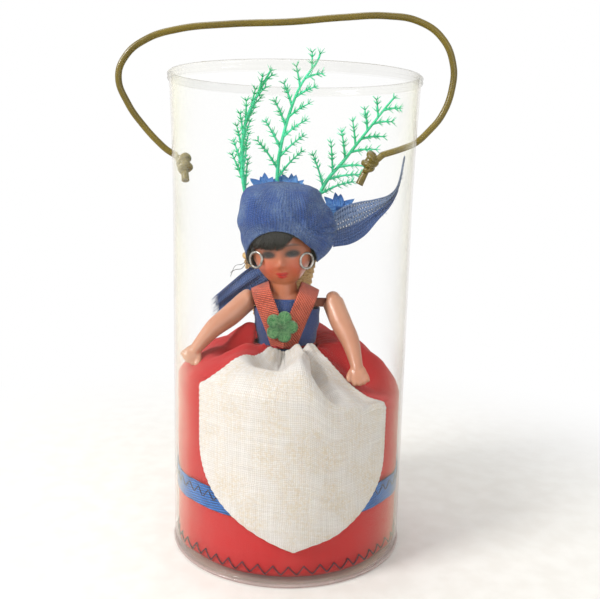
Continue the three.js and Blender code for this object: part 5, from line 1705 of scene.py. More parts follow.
@dataclass(frozen=True)
class Costume:
    """Bodice with ribbon straps, a thread round the waist and a felt flower."""

    bodice_offset: float = 0.6
    bodice_slack: float = 1.4  # how much wider it hangs at the right
    strap_width: float = 6.6
    strap_gap: float = 0.1  # from the midline where the straps meet
    neckline: float = 17.0  # rise of the bodice's front edge
    armhole: float = 13.5
    tie_out: float = 2.25
    tie_rise: float = 1.0
    flower_lobe: float = 2.3
    flower_place: float = 3.2
    flower_rise: float = 8.4
    flower_side: float = -0.9
    flower_thickness: float = 1.2
    flower_fibres: int = 700
    bodice_thickness: float = 0.5
    strap_thickness: float = 0.4
    tie_ply: float = 0.27  # radius of each of its two threads

    def build_bodice(self) -> None:
        """Cotton tube round the torso, cut out under the arms, with drawn wrinkles."""
        columns, rows = 160, 44
        turn = circle(columns)[None, :]
        top = self.armhole + (self.neckline - self.armhole) * ramp(0.55, 0.85, np.abs(np.sin(turn)))
        rise = top + (-1.5 - top) * np.linspace(0, 1, rows)[:, None]
        a, b = torso_half(rise)
        wide = a + self.bodice_offset + self.bodice_slack * np.maximum(np.cos(turn), 0)
        grid = oval(FIGURE.x, wide, b + self.bodice_offset, turn, FIGURE.waist + rise)
        pull = 0.22 * np.sin(1.1 * grid[..., 2] + 0.5 * grid[..., 0]) + 0.3 * ripple(grid, 4, 21)
        grid += normals_of(grid, True) * (pull * 0.6)[..., None]
        bodice = lay("bodice_cloth", grid, BODICE_BLUE, self.bodice_thickness, "bodice", around=True)

    def build_strap(self, side: Side) -> None:
        """Ribbon from the waist in front, over the shoulder and down to the waist behind.

        Args:
            side: the shoulder that it goes over.
        """
        rows, columns = 110, 17
        route = smooth_path(STRAP_ROUTE, rows)
        ways = unit(np.gradient(route, axis=0))
        out = unit(route - route * np.array([0.5, 0, 0]) - np.array([0, 0, FIGURE.waist + 11]))
        across = unit(np.cross(ways, out))
        share = np.linspace(-self.strap_width / 2, self.strap_width / 2, columns)[None, :, None]
        grid = route[:, None] + across[:, None] * share
        grid[..., 0] = FIGURE.x + side.value * np.maximum(grid[..., 0], self.strap_gap)
        if side is Side.LEFT:
            grid = grid[:, ::-1]
        edge = np.abs(np.linspace(-1, 1, columns))
        lift = 0.1 * hump(edge, 0.93, 0.08)[None, :] + 0.12 * ripple(grid, 5, 31)
        grid += normals_of(grid, False) * lift[..., None]
        name = f"strap_{side.name.lower()}"
        lay(f"ribbon_{name}", grid, STRAP_RED, self.strap_thickness, name)

    def build_tie(self) -> None:
        """Two-ply thread round the waist, knotted in front with short ends."""
        a, b = torso_half(np.array(self.tie_rise))
        out = self.tie_out
        turn = np.linspace(0, 2 * np.pi, 240)
        ring = oval(FIGURE.x, a + out, b + out, turn, FIGURE.waist + self.tie_rise)
        outward = unit(ring - np.array([FIGURE.x, 0, FIGURE.waist + self.tie_rise]))
        skin = Skin()
        for ply in (0, np.pi):
            twist = 60 * turn + ply
            aside = np.cos(twist)[:, None] * outward + np.sin(twist)[:, None] * np.array([0, 0, 1])
            skin.grid(sweep(ring + 0.24 * aside, self.tie_ply, 6), around=True)
        front = np.array([FIGURE.x - 2.8, -(b + out) - 0.2, FIGURE.waist + self.tie_rise])
        skin.loft(ellipsoid(tuple(front), (0.9, 0.7, 0.8), 14, 10))
        for lean, drop in ((-0.9, 1.6), (0.7, 2.4)):
            tip = front + np.array([lean, -3.4, -drop])
            bow = smooth_path([front, (front + tip) / 2 + np.array([0, -0.6, 0.7]), tip], 10)
            skin.tube(bow, np.linspace(0.34, 0.24, 10), 6)
        settle(skin.build("waist_thread", RED_THREAD), RED_THREAD, "waist_tie")

    def build_flower(self) -> None:
        """Felt cut-out of five lobes with a fuzzy face and a pressed heart."""
        _, high = (np.array(corner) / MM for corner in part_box("felt_flower"))
        middle = np.array([FIGURE.x + self.flower_side, 0, FIGURE.waist + self.flower_rise])
        columns, rings = 150, 18
        turn = circle(columns)
        from_lobe = (turn + np.pi / 5) % (2 * np.pi / 5) - np.pi / 5
        aside = self.flower_place * np.sin(from_lobe)
        inside = np.maximum(self.flower_lobe**2 - aside**2, 0.01)
        reach = self.flower_place * np.cos(from_lobe) + np.sqrt(inside)
        rng = random.Random(41)
        skin = Skin()
        rows = []
        for share in np.linspace(0.01, 1, rings):
            thin = 1 - ramp(0.92, 1, share) * 0.6
            crown = self.flower_thickness * thin - 0.15 * hump(share, 0, 0.22)
            crown = crown - 0.1 * hump(np.abs(from_lobe), np.pi / 5, 0.16) * ramp(0.25, 0.8, share)
            radius = reach * share * (1 if share < 1 else 1.01)
            x, z = middle[0] + radius * np.cos(turn), middle[2] + radius * np.sin(turn)
            rows.append(np.stack([x, high[1] - crown, z], axis=1))
        rows.append(rows[-1] + np.array([0, self.flower_thickness * 0.2, 0]))
        grid = np.array(rows)
        grid[..., 1] += 0.1 * ripple(grid, 0.6, 42) + 0.12 * ripple(grid, 2.0, 43)
        skin.grid(grid[:, ::-1], around=True)
        back = rows[-1].copy()
        skin.cap(back, back.mean(axis=0), flip=True)
        fuzz_foot = high[1] - self.flower_thickness + 0.15
        for _ in range(self.flower_fibres):
            angle, share = rng.uniform(0, 2 * math.pi), math.sqrt(rng.random())
            rim = float(np.interp(angle, turn, reach))
            out = rim * share
            root = middle + np.array([out * math.cos(angle), fuzz_foot, out * math.sin(angle)])
            if share > 0.93:
                root[1] += 0.5
            tip = root + np.array([rng.uniform(-0.5, 0.5), -rng.uniform(0.05, 0.35), rng.uniform(-0.5, 0.5)])
            skin.tube(np.linspace(root, tip, 3), (0.05, 0.045, 0.02), 3)
        flower = skin.build("felt_blossom", FELT_GREEN)
        settle(flower, FELT_GREEN, "felt_flower")

    def build(self) -> None:
        """Everything on the torso."""
        self.build_bodice()
        for side in Side:
            self.build_strap(side)
        self.build_tie()
        self.build_flower()


# Skirt, ribbon and apron

# Degrees round from the right; heights from the waist; reaches from the middle and from the wall
SKIRT_CURVES = np.array([
    (-180, 2, 0, -10, 16, 2),
    (-136, 4, 0, -7.4, 16, 3),
    (-110, -12, 12, -8, 18, 0),
    (-84, -9, 10, -9, 18, 0),
    (-66, -9, -3, -15, 18, 0.6),
    (-44, -2, -12, -13, 17, 4),
    (-22, -3, -11, -15, 17, 4),
    (0, 5, -1, -15, 16, 2.6),
    (90, 9.5, 6, -11, 14, 4.6),
    (180, 2, 0, -10, 16, 2),
], float)


@dataclass(frozen=True)
class Skirts:
    """Skirt drawn out to the tube's wall, its ribbon and stitches, and the apron over it."""

    radius: float = 37.6
    hem: float = 2.4
    thickness: float = 0.8
    side_fill: float = 1.0
    ribbon_fill: float = 0.77
    folds: int = 11
    fold_depth: float = 0.7
    back_fold: float = 0.95
    dent_depth: float = 2.5
    dent_spread: float = 7.0
    gathers: int = 46
    gather_depth: float = 0.45
    ribbon_low: float = 21.0
    ribbon_width: float = 7.5
    ribbon_radius: float = 38.1
    ribbon_thickness: float = 0.3
    stitch_length: float = 5.0
    hem_stitch: Pair = (3.1, 6.0)
    ribbon_stitch: Pair = (24.3, 27.4)
    thread: float = 0.19
    apron_turn: float = 4.0
    apron_half: float = 50.5
    apron_gather_half: float = 46.0
    apron_start: float = 0.02
    apron_drawn: float = 0.5  # how far its left side is drawn in at the waist
    apron_spread: float = 0.75
    apron_point: float = 11.5
    apron_curve_rise: float = 33.5
    apron_curve: float = 2.6
    apron_lift: float = 1.25
    apron_thickness: float = 0.4
    pinking: float = 0.14

    def surface(self, turn: Array, share: Array, lift: Array) -> Array:
        """Points of the skirt's outer face, lifted off it: share 0 is the waist, 1 the wall and 2 the hem.

        Args:
            turn: radians round the doll.
            share: how far down the skirt.
            lift: distance off its face.

        Returns:
            Array of points, in the shape of the arguments.
        """
        turn, share, lift = np.broadcast_arrays(turn, share, lift)
        degrees = (np.degrees(turn) + 180) % 360 - 180
        after = np.clip(np.searchsorted(SKIRT_CURVES[:, 0], degrees, side="right"), 1, len(SKIRT_CURVES) - 1)
        low, high = SKIRT_CURVES[after - 1], SKIRT_CURVES[after]
        part = np.clip((degrees - low[..., 0]) / (high[..., 0] - low[..., 0]), 0, 1)
        part = (part * part * (3 - 2 * part))[..., None]
        _, inner, outer, wall, inner_reach, outer_reach = np.moveaxis(low + (high - low) * part, -1, 0)
        a, b = (half + 3.4 for half in torso_half(np.array(0.0)))
        waist = 1 / np.hypot(np.cos(turn) / a, np.sin(turn) / b)
        t = np.minimum(share, 1)
        ends = [
            (waist, 0 * waist), (inner_reach, inner), (self.radius - outer_reach, outer),
            (np.full_like(t, self.radius), wall)
        ]
        weights = ((1 - t) ** 3, 3 * (1 - t) ** 2 * t, 3 * (1 - t) * t**2, t**3)
        slopes = (-3 * (1 - t) ** 2, 3 * (1 - t) * (1 - 3 * t), 3 * t * (2 - 3 * t), 3 * t**2)
        reach, height = (sum(w * end[k] for w, end in zip(weights, ends)) for k in (0, 1))
        run, fall = (sum(s * end[k] for s, end in zip(slopes, ends)) for k in (0, 1))
        on_wall = share > 1
        drop = wall + (self.hem - FIGURE.waist - wall) * (share - 1)
        height = np.where(on_wall, drop, height)
        run, fall = np.where(on_wall, 0.0, run), np.where(on_wall, -1.0, fall)
        size = np.maximum(np.hypot(run, fall), 1e-9)
        fade = np.where(on_wall, 0, np.sin(np.pi * np.minimum(share, 1)) ** 2)
        drape = self.wall_fold(turn) * ramp(0.35, 0.85, share)
        rise = lift + self.fold_depth * fade * np.cos(self.folds * turn) - drape
        reach, height = reach - fall / size * rise, height + run / size * rise
        off_axis = FIGURE.x * (1 - self.spread(waist, reach))
        reach = reach + self.side_fill * self.beside_apron(turn) * ramp(0.75, 1, share)
        points = oval(off_axis, reach, reach, turn, FIGURE.waist + height)
        hand = FIGURE.right_hand
        apart = np.hypot(points[..., 0] - hand[0], points[..., 1] - hand[1]) / self.dent_spread
        points[..., 2] -= self.dent_depth * np.exp(-(apart**2) / 2) * np.clip(2 - share, 0, 1)
        return points

    def wall_fold(self, turn: Array) -> Array:
        """How far the soft upright folds behind draw the skirt in from the wall.

        Args:
            turn: radians round the doll.

        Returns:
            Distance in from the wall.
        """
        degrees = np.degrees(turn) % 360
        behind = ramp(4, 34, degrees) * (1 - ramp(146, 176, degrees))
        wave = 0.5 + 0.5 * np.cos(15 * turn + 1.4 * np.sin(4 * turn))
        return self.back_fold * behind * wave**1.5

    def beside_apron(self, turn: Array) -> Array:
        """1 where no apron covers the skirt, so that it can fill the tube, and 0 where one does."""
        degrees = (np.degrees(turn) + 90 - self.apron_turn + 180) % 360 - 180
        return ramp(54, 66, np.abs(degrees))

    def relief(self, turn: Array, share: Array) -> Array:
        """How far the bunched cloth stands off its plain form.

        Args:
            turn: radians round the doll.
            share: how far down the skirt.

        Returns:
            Lift off the skirt's face: below 0 in the pockets in front, above 0 in the puffs at the left.
        """
        degrees = (np.degrees(turn) + 180) % 360 - 180
        across = (degrees + 90 - self.apron_turn) / self.apron_gather_half
        near = 1 - ramp(0.05, 0.42, share)
        pocket = 7.0 * hump(across, -0.3 + 0.12 * near, 0.26 - 0.11 * near) * lopsided(share, 0.5, 0.42, 0.13)
        wing = -(2.0 + 2.4 * near) * hump(across, -0.74 + 0.2 * near, 0.2) * ramp(0, 0.06, share)
        wing = wing * (1 - ramp(0.5, 0.85, share))
        lip = 2.6 * hump(across, -0.42, 0.4) * hump(share, 0.76, 0.17)
        crease = 5.2 * lopsided(across, self.pleat(share), 0.05, 0.34) * ramp(0.06, 0.34, share)
        crease = crease * (1 - ramp(0.7, 0.94, share))
        sunk = (pocket + wing + lip + crease) * (1 - ramp(0.98, 1.2, np.abs(across)))
        puff = 8.0 * lopsided(degrees, -166, 16, 6) * ramp(0, 0.07, share)
        puff = puff * (1 - ramp(0.1, 0.42, share))
        hollow = 12.0 * hump(degrees + 20 * share, -143, 11) * lopsided(share, 0.24, 0.15, 0.2)
        hollow = hollow * ramp(0.02, 0.2, share)
        roll = 2.6 * hump(degrees + 42 * share, -120, 5.5) * ramp(0, 0.06, share)
        roll = roll * (1 - ramp(0.3, 0.75, share))
        return np.where(share < 1, puff + roll - hollow - sunk, 0.0)

    def pleat(self, share: Array) -> Array:
        """Where, across the apron, the edge of its middle pleat runs."""
        return np.interp(
            share, (0.05, 0.1, 0.3, 0.5, 0.65, 0.8, 0.88), (0.85, 0.75, 0.5, 0.32, 0.24, 0.3, 0.5)
        )

    def spread(self, waist: Array, reach: Array) -> Array:
        """How far a point has come from the waist, which is off the axis, to the wall, which is on it."""
        part = np.clip((reach - waist) / (self.radius - waist), 0, 1)
        return part * part * (3 - 2 * part)

    def build_skirt(self) -> None:
        """Red cotton, gathered at the waist, with soft folds and a turned hem."""
        columns = 300
        shares = np.concatenate([np.linspace(0, 1, 72), np.linspace(1, 2, 46)[1:]])[:, None]
        turn = circle(columns)[None, :]
        base = self.surface(turn, shares, np.array(0.0))
        near_waist = np.clip(1 - shares / 0.45, 0, 1) ** 1.5
        wander = ripple(base, 9, 51)
        gather = self.gather_depth * near_waist * np.sin(self.gathers * turn + 3 * wander)
        flow = 0.4 * ripple(base, 7, 52) + 0.15 * ripple(base, 2.6, 53)
        soft = np.where(shares > 1, 0.35, 1.0)
        crumple = gather + soft * flow - 0.35 * (shares > 0.9) * (1 - self.beside_apron(turn))
        hem = -0.25 * hump(shares, 1.93, 0.015)
        base = self.surface(turn, shares, crumple + hem + self.relief(turn, shares) - self.thickness / 2)
        skirt = lay("skirt_cloth", base, SKIRT_RED, self.thickness, "skirt", around=True)
        stitches = self.zigzag("hem_stitches", self.hem_stitch, self.radius + 0.1)

    def zigzag(self, name: str, heights: Pair, radius: float) -> Piece:
        """Ring of zigzag stitches, each one a thread that dips into the cloth at its ends.

        Args:
            name: the piece's name.
            heights: of the lower and upper corners.
            radius: of the cloth.

        Returns:
            The stitches.
        """
        count = 2 * round(2 * math.pi * radius / self.stitch_length)
        rng = random.Random(len(name))
        skin = Skin()
        corners = []
        for k in range(count):
            turn = 2 * math.pi * (k + rng.uniform(-0.08, 0.08)) / count
            corners.append((turn, heights[k % 2] + rng.uniform(-0.15, 0.15)))
        for k, (turn, height) in enumerate(corners):
            next_turn, next_height = corners[(k + 1) % count]
            if k == count - 1:
                next_turn += 2 * math.pi
            path = []
            for share in np.linspace(0, 1, 6):
                angle = turn + (next_turn - turn) * share
                fill = self.side_fill if heights == self.hem_stitch else self.ribbon_fill
                place = np.array(angle)
                out = radius + fill * float(self.beside_apron(place)) - float(self.wall_fold(place))
                out += self.thread * (1.6 * math.sin(math.pi * share) ** 0.5 - 0.7)
                path.append(
                    (out * math.cos(angle), out * math.sin(angle), height + (next_height - height) * share)
                )
            skin.tube(np.array(path), self.thread, 6)
        return settle(skin.build(name, DARK_THREAD), DARK_THREAD)

    def build_ribbon(self) -> None:
        """Ribbed ribbon round the skirt, sewn on with a zigzag."""
        columns, rows = 640, 13
        turn = circle(columns)[None, :]
        height = np.linspace(self.ribbon_low + self.ribbon_width, self.ribbon_low, rows)[:, None] + 0 * turn
        edge = np.abs(np.linspace(-1, 1, rows))[:, None]
        reach = self.ribbon_radius + 0.04 * np.cos(320 * turn) + 0.06 * hump(edge, 1, 0.1)
        reach = reach + self.ribbon_fill * self.beside_apron(turn) - self.wall_fold(turn)
        grid = oval(0, reach, reach, turn, height + 0.12 * np.sin(5 * turn))
        girth = np.linspace(0, 2 * np.pi * self.ribbon_radius, columns + 1)
        flat = np.stack(np.meshgrid(girth, height[:, 0]), axis=2)
        lay("ribbon_band", grid, RIBBON_BLUE, self.ribbon_thickness, "skirt_ribbon", flat=flat, around=True)
        self.zigzag("ribbon_stitches", self.ribbon_stitch, self.ribbon_radius + 0.08)

    def fold_lift(self, across: Array, share: Array) -> Array:
        """How far the apron's folds stand off the skirt, across it and on the way to the wall.

        Args:
            across: -1 at the left edge and 1 at the right.
            share: 0 at the waist and 1 at the wall.

        Returns:
            Lift off the skirt.
        """
        keys = np.array(
            [(-1, 0), (-0.5, 2.4), (-0.24, 0.4), (0.04, 4.8), (0.28, 0.2), (0.56, 2.2), (1, 0)], float
        )
        sway = np.minimum(np.where(share < 0.65, self.pleat(share) - 0.24, 0.0), 0.3)
        across = np.clip(across - sway * ramp(-0.6, 0.2, across), -1, 1)
        after = np.clip(np.searchsorted(keys[:, 0], across), 1, len(keys) - 1)
        low, high = keys[after - 1], keys[after]
        part = (across - low[..., 0]) / (high[..., 0] - low[..., 0])
        lift = low[..., 1] + (high[..., 1] - low[..., 1]) * part * part * (3 - 2 * part)
        return lift * ramp(-0.5, 0.12, share) * (1 - ramp(0.22, 1, share))

    def build_apron(self) -> None:
        """Coarse off-white cloth, gathered under the thread, that falls over the lip to a pinked point."""
        columns = 181
        wall_top = float(self.surface(np.array(-np.pi / 2), np.array(1.0), np.array(0.0))[2])
        tip = 2 - (self.apron_point - self.hem) / (wall_top - self.hem)
        shares = np.concatenate([np.linspace(self.apron_start, 1, 84), np.linspace(1, tip, 118)[1:]])[:, None]
        height = wall_top + (self.hem - wall_top) * (shares - 1)
        below = np.clip((self.apron_point + self.apron_curve_rise - height) / self.apron_curve_rise, 0, 1)
        on_wall = self.apron_half * (1 - below**self.apron_curve)
        widened = ramp(self.apron_spread, 1, shares)
        on_skirt = self.apron_gather_half + (self.apron_half - self.apron_gather_half) * widened
        half = np.where(shares > 1, np.maximum(on_wall, 0.5), on_skirt)
        tooth = math.degrees(self.pinking / self.radius)
        teeth = np.where(np.arange(len(shares)) % 4 < 2, 1.0, -1.0)[:, None] * tooth
        across = np.linspace(-1, 1, columns)[None, :]
        left_edge = np.interp(
            shares, (0, 0.3, 0.6, 0.8, 0.93, 0.99), (self.apron_drawn, 0.68, 0.77, 0.9, 0.94, 1)
        )
        drawn_in = np.where(across < 0, left_edge, 1.0)
        pinked = teeth * np.sign(across) * np.abs(across) ** 40
        turn = np.radians(-90 + self.apron_turn + across * half * drawn_in + pinked)
        folds = self.fold_lift(across + 0 * shares, shares + 0 * across)
        flat_lift = self.apron_lift + folds + self.relief(turn, shares)
        base = self.surface(turn, shares, flat_lift)
        near = np.clip(1 - shares / 0.5, 0, 1)
        crumple = 0.25 * ripple(base, 6, 61) + 0.3 * near * np.sin(26 * across + 2 * ripple(base, 8, 62))
        crumple = np.where(shares > 1, -np.abs(crumple) * 0.4, crumple)
        grid = self.surface(turn, shares, flat_lift + crumple)
        wide = np.radians(half) * self.radius * across
        steps = np.linalg.norm(np.diff(grid, axis=0), axis=2).mean(axis=1)
        long = np.concatenate([[0], np.cumsum(steps)])[:, None]
        flat = np.stack([wide, long + 0 * across], axis=2)
        apron = lay("apron_cloth", grid, APRON_LINEN, self.apron_thickness, "apron", flat=flat)

    def build(self) -> None:
        """Skirt, ribbon and apron."""
        self.build_skirt()
        self.build_ribbon()
        self.build_apron()


# Back basket with ferns and paper flowers


@dataclass(frozen=True)
class Frond:
    """One plastic fern frond, from the middle of the basket's floor."""

    name: str
    node: str
    stem: Sequence[Point]
    branches: int
    length: float
    turn: float  # degrees between stem and branch


@dataclass(frozen=True)
class BackBasket:
    """Straw basket on the doll's back with three fern fronds and three paper flowers."""

    middle: Point = (-4.5, 24.2, 75.9)  # inside of its floor
    height: float = 23.0
    base_radius: float = 9.52
    mouth_radius: float = 13.6
    wall: float = 0.9
    stakes: int = 26
    straw: float = 0.55
    stem_radius: float = 1.15
    needle: float = 2.3
    petals: int = 8
    petal_length: float = 7.2
    paper: float = 0.16  # its thickness
    snips: int = 26  # in a flower's heart
    star_needles: int = 6
    rim_straw: float = 0.62
    floor_straw: float = 0.6
    flower_lean: float = 40.0  # degrees up from straight ahead

    def wall_radius(self, height: Array) -> Array:
        """Middle of the basket's wall at a height above its foot."""
        spread = (self.mouth_radius - self.base_radius) * height / self.height
        return self.base_radius + spread - self.wall / 2

    def build_basket(self) -> None:
        """Stakes, woven rows, a twisted rim and a coiled floor."""
        foot = np.array(self.middle) - np.array([0, 0, self.wall])
        skin = Skin()
        for k in range(self.stakes):
            angle = 2 * math.pi * k / self.stakes
            heights = np.linspace(0.3, self.height - 0.4, 12)
            reach = self.wall_radius(heights)
            path = foot + oval(0, reach, reach, angle, heights)
            skin.tube(path, self.straw * 0.8, 6)
        rows = round((self.height - 2) / (1.75 * self.straw))
        turn = np.linspace(0, 2 * np.pi, 4 * self.stakes + 1)
        for row in range(rows):
            height = 0.7 + row * (self.height - 2.2) / (rows - 1)
            weave = 0.5 * self.straw * 1.5 * np.cos(self.stakes / 2 * turn + math.pi * row)
            reach = self.wall_radius(np.array(height)) + weave
            wobble = 0.12 * np.sin(3 * turn + row)
            path = foot + oval(0, reach, reach, turn, height + wobble)
            skin.grid(sweep(path, self.straw, 6), around=True)
        fine = np.linspace(0, 2 * np.pi, 200)
        for ply in (0, np.pi):
            twist = 34 * fine + ply
            reach = self.wall_radius(np.array(self.height)) + 0.5 * np.cos(twist)
            path = foot + oval(0, reach, reach, fine, self.height - 0.7 + 0.5 * np.sin(twist))
            skin.grid(sweep(path, self.rim_straw, 6), around=True)
        coil = np.linspace(0, 7 * 2 * np.pi, 300)
        reach = 0.4 + (self.base_radius - 1.2) * coil / coil[-1]
        path = foot + oval(0, reach, reach, coil, self.wall / 2)
        skin.tube(path, self.floor_straw, 6)
        settle(skin.build("straw_basket", STRAW), STRAW, "back_basket")

    def build_frond(self, frond: Frond, seed: int) -> None:
        """Stem with side branches, and stars of needles along each branch.

        Args:
            frond: its course and branches.
            seed: picks its irregularities.
        """
        rng = random.Random(seed)
        root = np.array(self.middle) + np.array([0, 0, 0.3])
        stem = smooth_path([root + np.array(point) for point in frond.stem], 120)
        skin = Skin()
        skin.tube(np.vstack([stem[::3], stem[-1:]]), np.linspace(self.stem_radius, 0.35, 41), 8)
        ways = unit(np.gradient(stem, axis=0))
        for k in range(frond.branches):
            along = (k + 0.5) / frond.branches
            place = round((0.5 + 0.46 * along) * 119)
            angle = math.radians(frond.turn) * (1 if k % 2 == 0 else -1)
            way = np.array(Matrix.Rotation(angle, 3, "Y") @ Vector(ways[place]))
            way = unit(way + np.array([0, rng.uniform(-0.25, 0.25), 0]))
            length = frond.length * (1 - 0.62 * along)
            tip = stem[place] + way * length
            middle = (stem[place] + tip) / 2 + np.array([0, 0, 0.05 * length])
            branch = smooth_path([stem[place], middle, tip], 8)
            skin.tube(branch, np.linspace(0.5, 0.24, 8), 6)
            stars = max(2, round(length / 2.0))
            for star in range(1, stars + 1):
                centre = branch[min(7, round(7 * star / stars))]
                self.add_star(skin, centre, way, rng)
        self.add_star(skin, stem[-1], ways[-1], rng)
        settle(skin.build(frond.name, FERN), FERN, frond.node)

    def add_star(self, skin: Skin, centre: Array, way: Array, rng: random.Random) -> None:
        """Star of needles round a branch.

        Args:
            skin: takes the needles.
            centre: where they meet.
            way: the branch's direction.
            rng: picks their angles.
        """
        across = unit(np.cross(way, (0.2, 0.9, 0.3)))
        beside = np.cross(way, across)
        start = rng.uniform(0, 2 * math.pi)
        for k in range(self.star_needles):
            turn = start + 2 * math.pi * k / self.star_needles + rng.uniform(-0.3, 0.3)
            lean = unit(math.cos(turn) * across + math.sin(turn) * beside + way * rng.uniform(0.6, 1.2))
            tip = centre + lean * self.needle * rng.uniform(0.75, 1.15)
            skin.tube(np.linspace(centre, tip, 3), (0.2, 0.15, 0.07), 4)

    def build_paper_flower(self, name: str, node: str, stalk: Sequence[Point], seed: int) -> None:
        """Two layers of pointed crepe petals round a heart of snipped paper, on a wrapped stalk.

        Args:
            name: first part of the pieces' names.
            node: the solid that it stands for.
            stalk: points from the basket's floor up.
            seed: picks its irregularities.
        """
        rng = random.Random(seed)
        root = np.array(self.middle) + np.array([0, 0, 0.3])
        path = smooth_path([root + np.array(point) for point in stalk], 40)
        lean = math.radians(self.flower_lean)
        face = np.array([0, -math.cos(lean), math.sin(lean)])
        across = np.array([1.0, 0, 0])
        up = np.cross(face, across)
        stem = Skin()
        stem.tube(path, 0.5 + 0.06 * np.sin(np.arange(40) * 1.9), 8)
        sheets = Skin()
        share = np.linspace(0, 1, 11)[:, None]
        side = np.linspace(-1, 1, 7)[None, :]
        for layer in range(2):
            for k in range(self.petals):
                angle = 2 * math.pi * (k + 0.5 * layer) / self.petals + rng.uniform(-0.25, 0.25)
                way = math.cos(angle) * up + math.sin(angle) * across
                beside = np.cross(face, way)
                length = self.petal_length * rng.uniform(0.72, 1.08) * (1 - 0.1 * layer)
                width = rng.uniform(1.5, 2.3) * np.sin(np.pi * (0.12 + 0.88 * share)) ** 0.8
                width = width * (1 - 0.45 * share)
                cup = 0.4 + 0.5 * layer + 2.0 * share**1.6 * rng.uniform(0.5, 1.0)
                cup = cup + 0.5 * side**2 * np.sin(np.pi * share)
                crimp = 0.14 * np.sin(9 * side + 4 * share)
                place = path[-1] + (0.5 + (length - 0.5) * share)[..., None] * way
                place = place + (width * side)[..., None] * beside + (cup + crimp)[..., None] * face
                sheets.grid(place)
        for _ in range(self.snips):
            angle, spread = rng.uniform(0, 2 * math.pi), rng.uniform(0, 0.8)
            way = unit(face + spread * (math.cos(angle) * up + math.sin(angle) * across))
            snip = np.linspace(path[-1], path[-1] + way * rng.uniform(1.6, 2.6), 4)
            stem.tube(snip, (0.14, 0.14, 0.2, 0.1), 5)
        petals = thicken(sheets.build(f"{name}_petals", PAPER), self.paper)
        stalk_piece = stem.build(f"{name}_stalk", PAPER)
        settle(petals, PAPER, node)
        settle(stalk_piece, PAPER)

    def build(self) -> None:
        """Basket, fronds and flowers."""
        self.build_basket()
        left = [
            (-4.5, -2, 0), (-8.5, -3.2, 23.5), (-13.4, -5.2, 46.8), (-14.2, -6.2, 59.2), (-12.8, -8.2, 69.6)
        ]
        left += [(-9, -10.2, 78), (-4.3, -11.2, 86.5)]
        middle = [
            (-0.5, -2, 0), (-1.5, -3.6, 23.5), (-1.5, -5.2, 48.2), (-0.6, -6.2, 59.6), (2.3, -8.2, 71.7)
        ]
        middle += [(6.2, -10.2, 81.9), (11.5, -12.2, 89.4), (12.7, -13.2, 92.3)]
        right = [(4, -2, 0), (8.5, -3.4, 23.5), (14.5, -6.2, 45.8), (22.3, -7.2, 56.7), (28.9, -9.2, 65.6)]
        right += [(35.3, -11.2, 74.2), (38.5, -12.2, 78.3)]
        fronds = [
            Frond("frond_left", "fern_left", left, 15, 11, 15),
            Frond("frond_middle", "fern_middle", middle, 12, 13, 40),
            Frond("frond_right", "fern_right", right, 13, 13, 46),
        ]
        for seed, frond in enumerate(fronds):
            self.build_frond(frond, 70 + seed)
        flowers = [
            ("left", [(-6.5, 2, 0), (-6.8, 0, 23.5), (-5.4, -7, 45.2)]),
            ("middle", [(2, 1.5, 0), (3.6, 0.6, 23.5), (3.6, -5.6, 45.6)]),
            ("right", [(6, 1.5, 0), (9, 0, 23.5), (20.8, -6.6, 38.8)]),
        ]
        for seed, (label, stalk) in enumerate(flowers):
            self.build_paper_flower(f"blossom_{label}", f"paper_flower_{label}", stalk, 80 + seed)


# Camera, light and floor


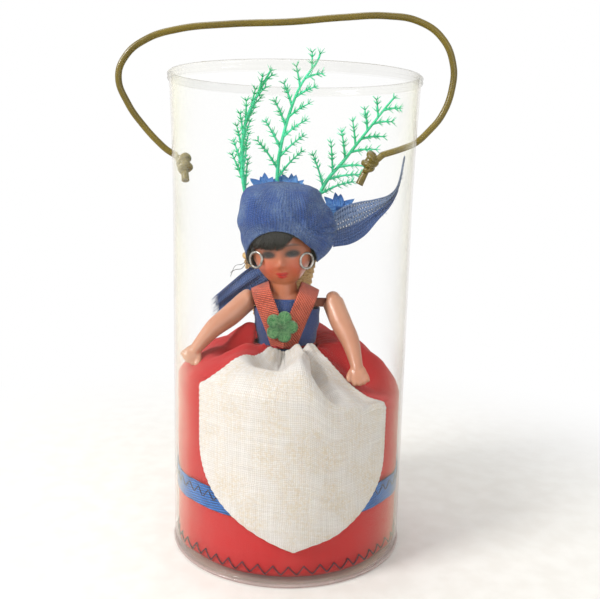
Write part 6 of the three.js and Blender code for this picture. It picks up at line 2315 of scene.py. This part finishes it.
@dataclass(frozen=True)
class Studio:
    """Camera at the photograph's place, soft light and a pale floor."""

    place: Point = (1.861, -259.865, 131.99)
    pitch: float = 10.208  # degrees down
    yaw: float = 0.286
    roll: float = 1.3
    focal: float = 762.63  # pixels
    sensor: float = 36.0
    sky: float = 0.38
    floor_size: float = 3.0  # metres
    shadow_reach: Pair = (0.07, 0.24)  # where the floor begins and ends to fade to white

    def build_camera(self) -> None:
        """Camera of the photograph."""
        pitch, yaw, roll = (math.radians(value) for value in (self.pitch, self.yaw, self.roll))
        ahead = Vector((math.sin(yaw) * math.cos(pitch), math.cos(yaw) * math.cos(pitch), -math.sin(pitch)))
        right = Vector((math.cos(yaw), -math.sin(yaw), 0))
        up = right.cross(ahead)
        across = math.cos(roll) * right + math.sin(roll) * up
        over = -math.sin(roll) * right + math.cos(roll) * up
        data = bpy.data.cameras.new("camera")
        data.sensor_fit = "HORIZONTAL"
        data.sensor_width = self.sensor
        data.lens = self.focal / IMAGE_WIDTH * self.sensor
        data.clip_start = 0.01
        camera = put("camera", data)
        axes = Matrix((across, over, -ahead)).transposed().to_4x4()
        camera.matrix_world = Matrix.Translation(Vector(self.place) * MM) @ axes
        bpy.context.scene.camera = camera

    def add_lamp(self, name: str, place: Point, size: float, power: float) -> None:
        """Square soft lamp that faces the doll.

        Args:
            name: its name.
            place: in metres.
            size: of its side, in metres.
            power: in watts.
        """
        data = bpy.data.lights.new(name, "AREA")
        data.size = size
        data.energy = power
        lamp = put(name, data)
        lamp.location = place
        lamp.rotation_euler = (Vector((0, 0, 0.08)) - Vector(place)).to_track_quat("-Z", "Y").to_euler()

    def build_world(self) -> None:
        """White surroundings: plain light on the object, and white where they are seen or mirrored."""
        world = bpy.data.worlds.new("studio")
        bpy.context.scene.world = world
        world.use_nodes = True
        world.node_tree.nodes.clear()
        nodes = Nodes(world.node_tree)
        strength = nodes.sum("MULTIPLY_ADD", nodes.seen(), 1.0 - self.sky, self.sky)
        sky = nodes.add("ShaderNodeBackground", Color=(1, 1, 1, 1), Strength=strength)
        nodes.add("ShaderNodeOutputWorld", Surface=sky.outputs[0])

    def build_floor(self) -> None:
        """Pale floor that keeps the shadow."""
        half = self.floor_size / 2 / MM
        line = np.linspace(-half, half, 12)
        x, y = np.meshgrid(line, line[::-1])
        skin = Skin()
        skin.grid(np.stack([x, y, np.full_like(x, -0.05)], axis=2))
        pale = Finish("pale_floor", "clear_plastic", (244, 242, 235), (238, 235, 227), 0.7)
        floor = skin.build("floor", pale)
        tree = floor.data.materials[0].node_tree
        nodes = Nodes(tree)
        shader = next(node for node in tree.nodes if node.type == "BSDF_PRINCIPLED")
        output = next(node for node in tree.nodes if node.type == "OUTPUT_MATERIAL")
        white = nodes.add("ShaderNodeEmission", Color=(1, 1, 1, 1), Strength=1.0)
        place = nodes.add("ShaderNodeTexCoord").outputs["Object"]
        away = nodes.add("ShaderNodeVectorMath", {"operation": "LENGTH"}, Vector=place).outputs["Value"]
        far = nodes.remap(away, self.shadow_reach, (0.1, 1.0))
        both = nodes.add("ShaderNodeMixShader", Fac=nodes.sum("MULTIPLY", nodes.seen(), far))
        nodes.feed(both.inputs[1], shader.outputs[0])
        nodes.feed(both.inputs[2], white.outputs[0])
        nodes.fill(output, Surface=both.outputs[0])

    def build(self) -> None:
        """Lamps, surroundings and floor."""
        self.add_lamp("key", (-0.72, -0.42, 0.62), 0.32, 8.4)
        self.add_lamp("fill", (0.45, -0.85, 0.4), 0.7, 2.7)
        self.add_lamp("top", (-0.1, 0.2, 0.95), 0.6, 3.0)
        self.build_world()
        self.build_floor()
        bpy.context.scene.view_settings.view_transform = "Standard"


def main() -> None:
    """Builds every sub-assembly in order."""
    logging.basicConfig(level=logging.INFO, format="%(message)s")
    studio = Studio()
    studio.build_camera()
    CordHandle().build()
    tube = DisplayTube()
    tube.build_wall()
    tube.build_base()
    DollBody().build()
    Arm(Side.LEFT, 27.2, 2.4).build()
    Arm(Side.RIGHT, 27.6, 3.7).build()
    Headwear().build()
    Costume().build()
    Skirts().build()
    BackBasket().build()
    studio.build()


if __name__ == "__main__":
    main()
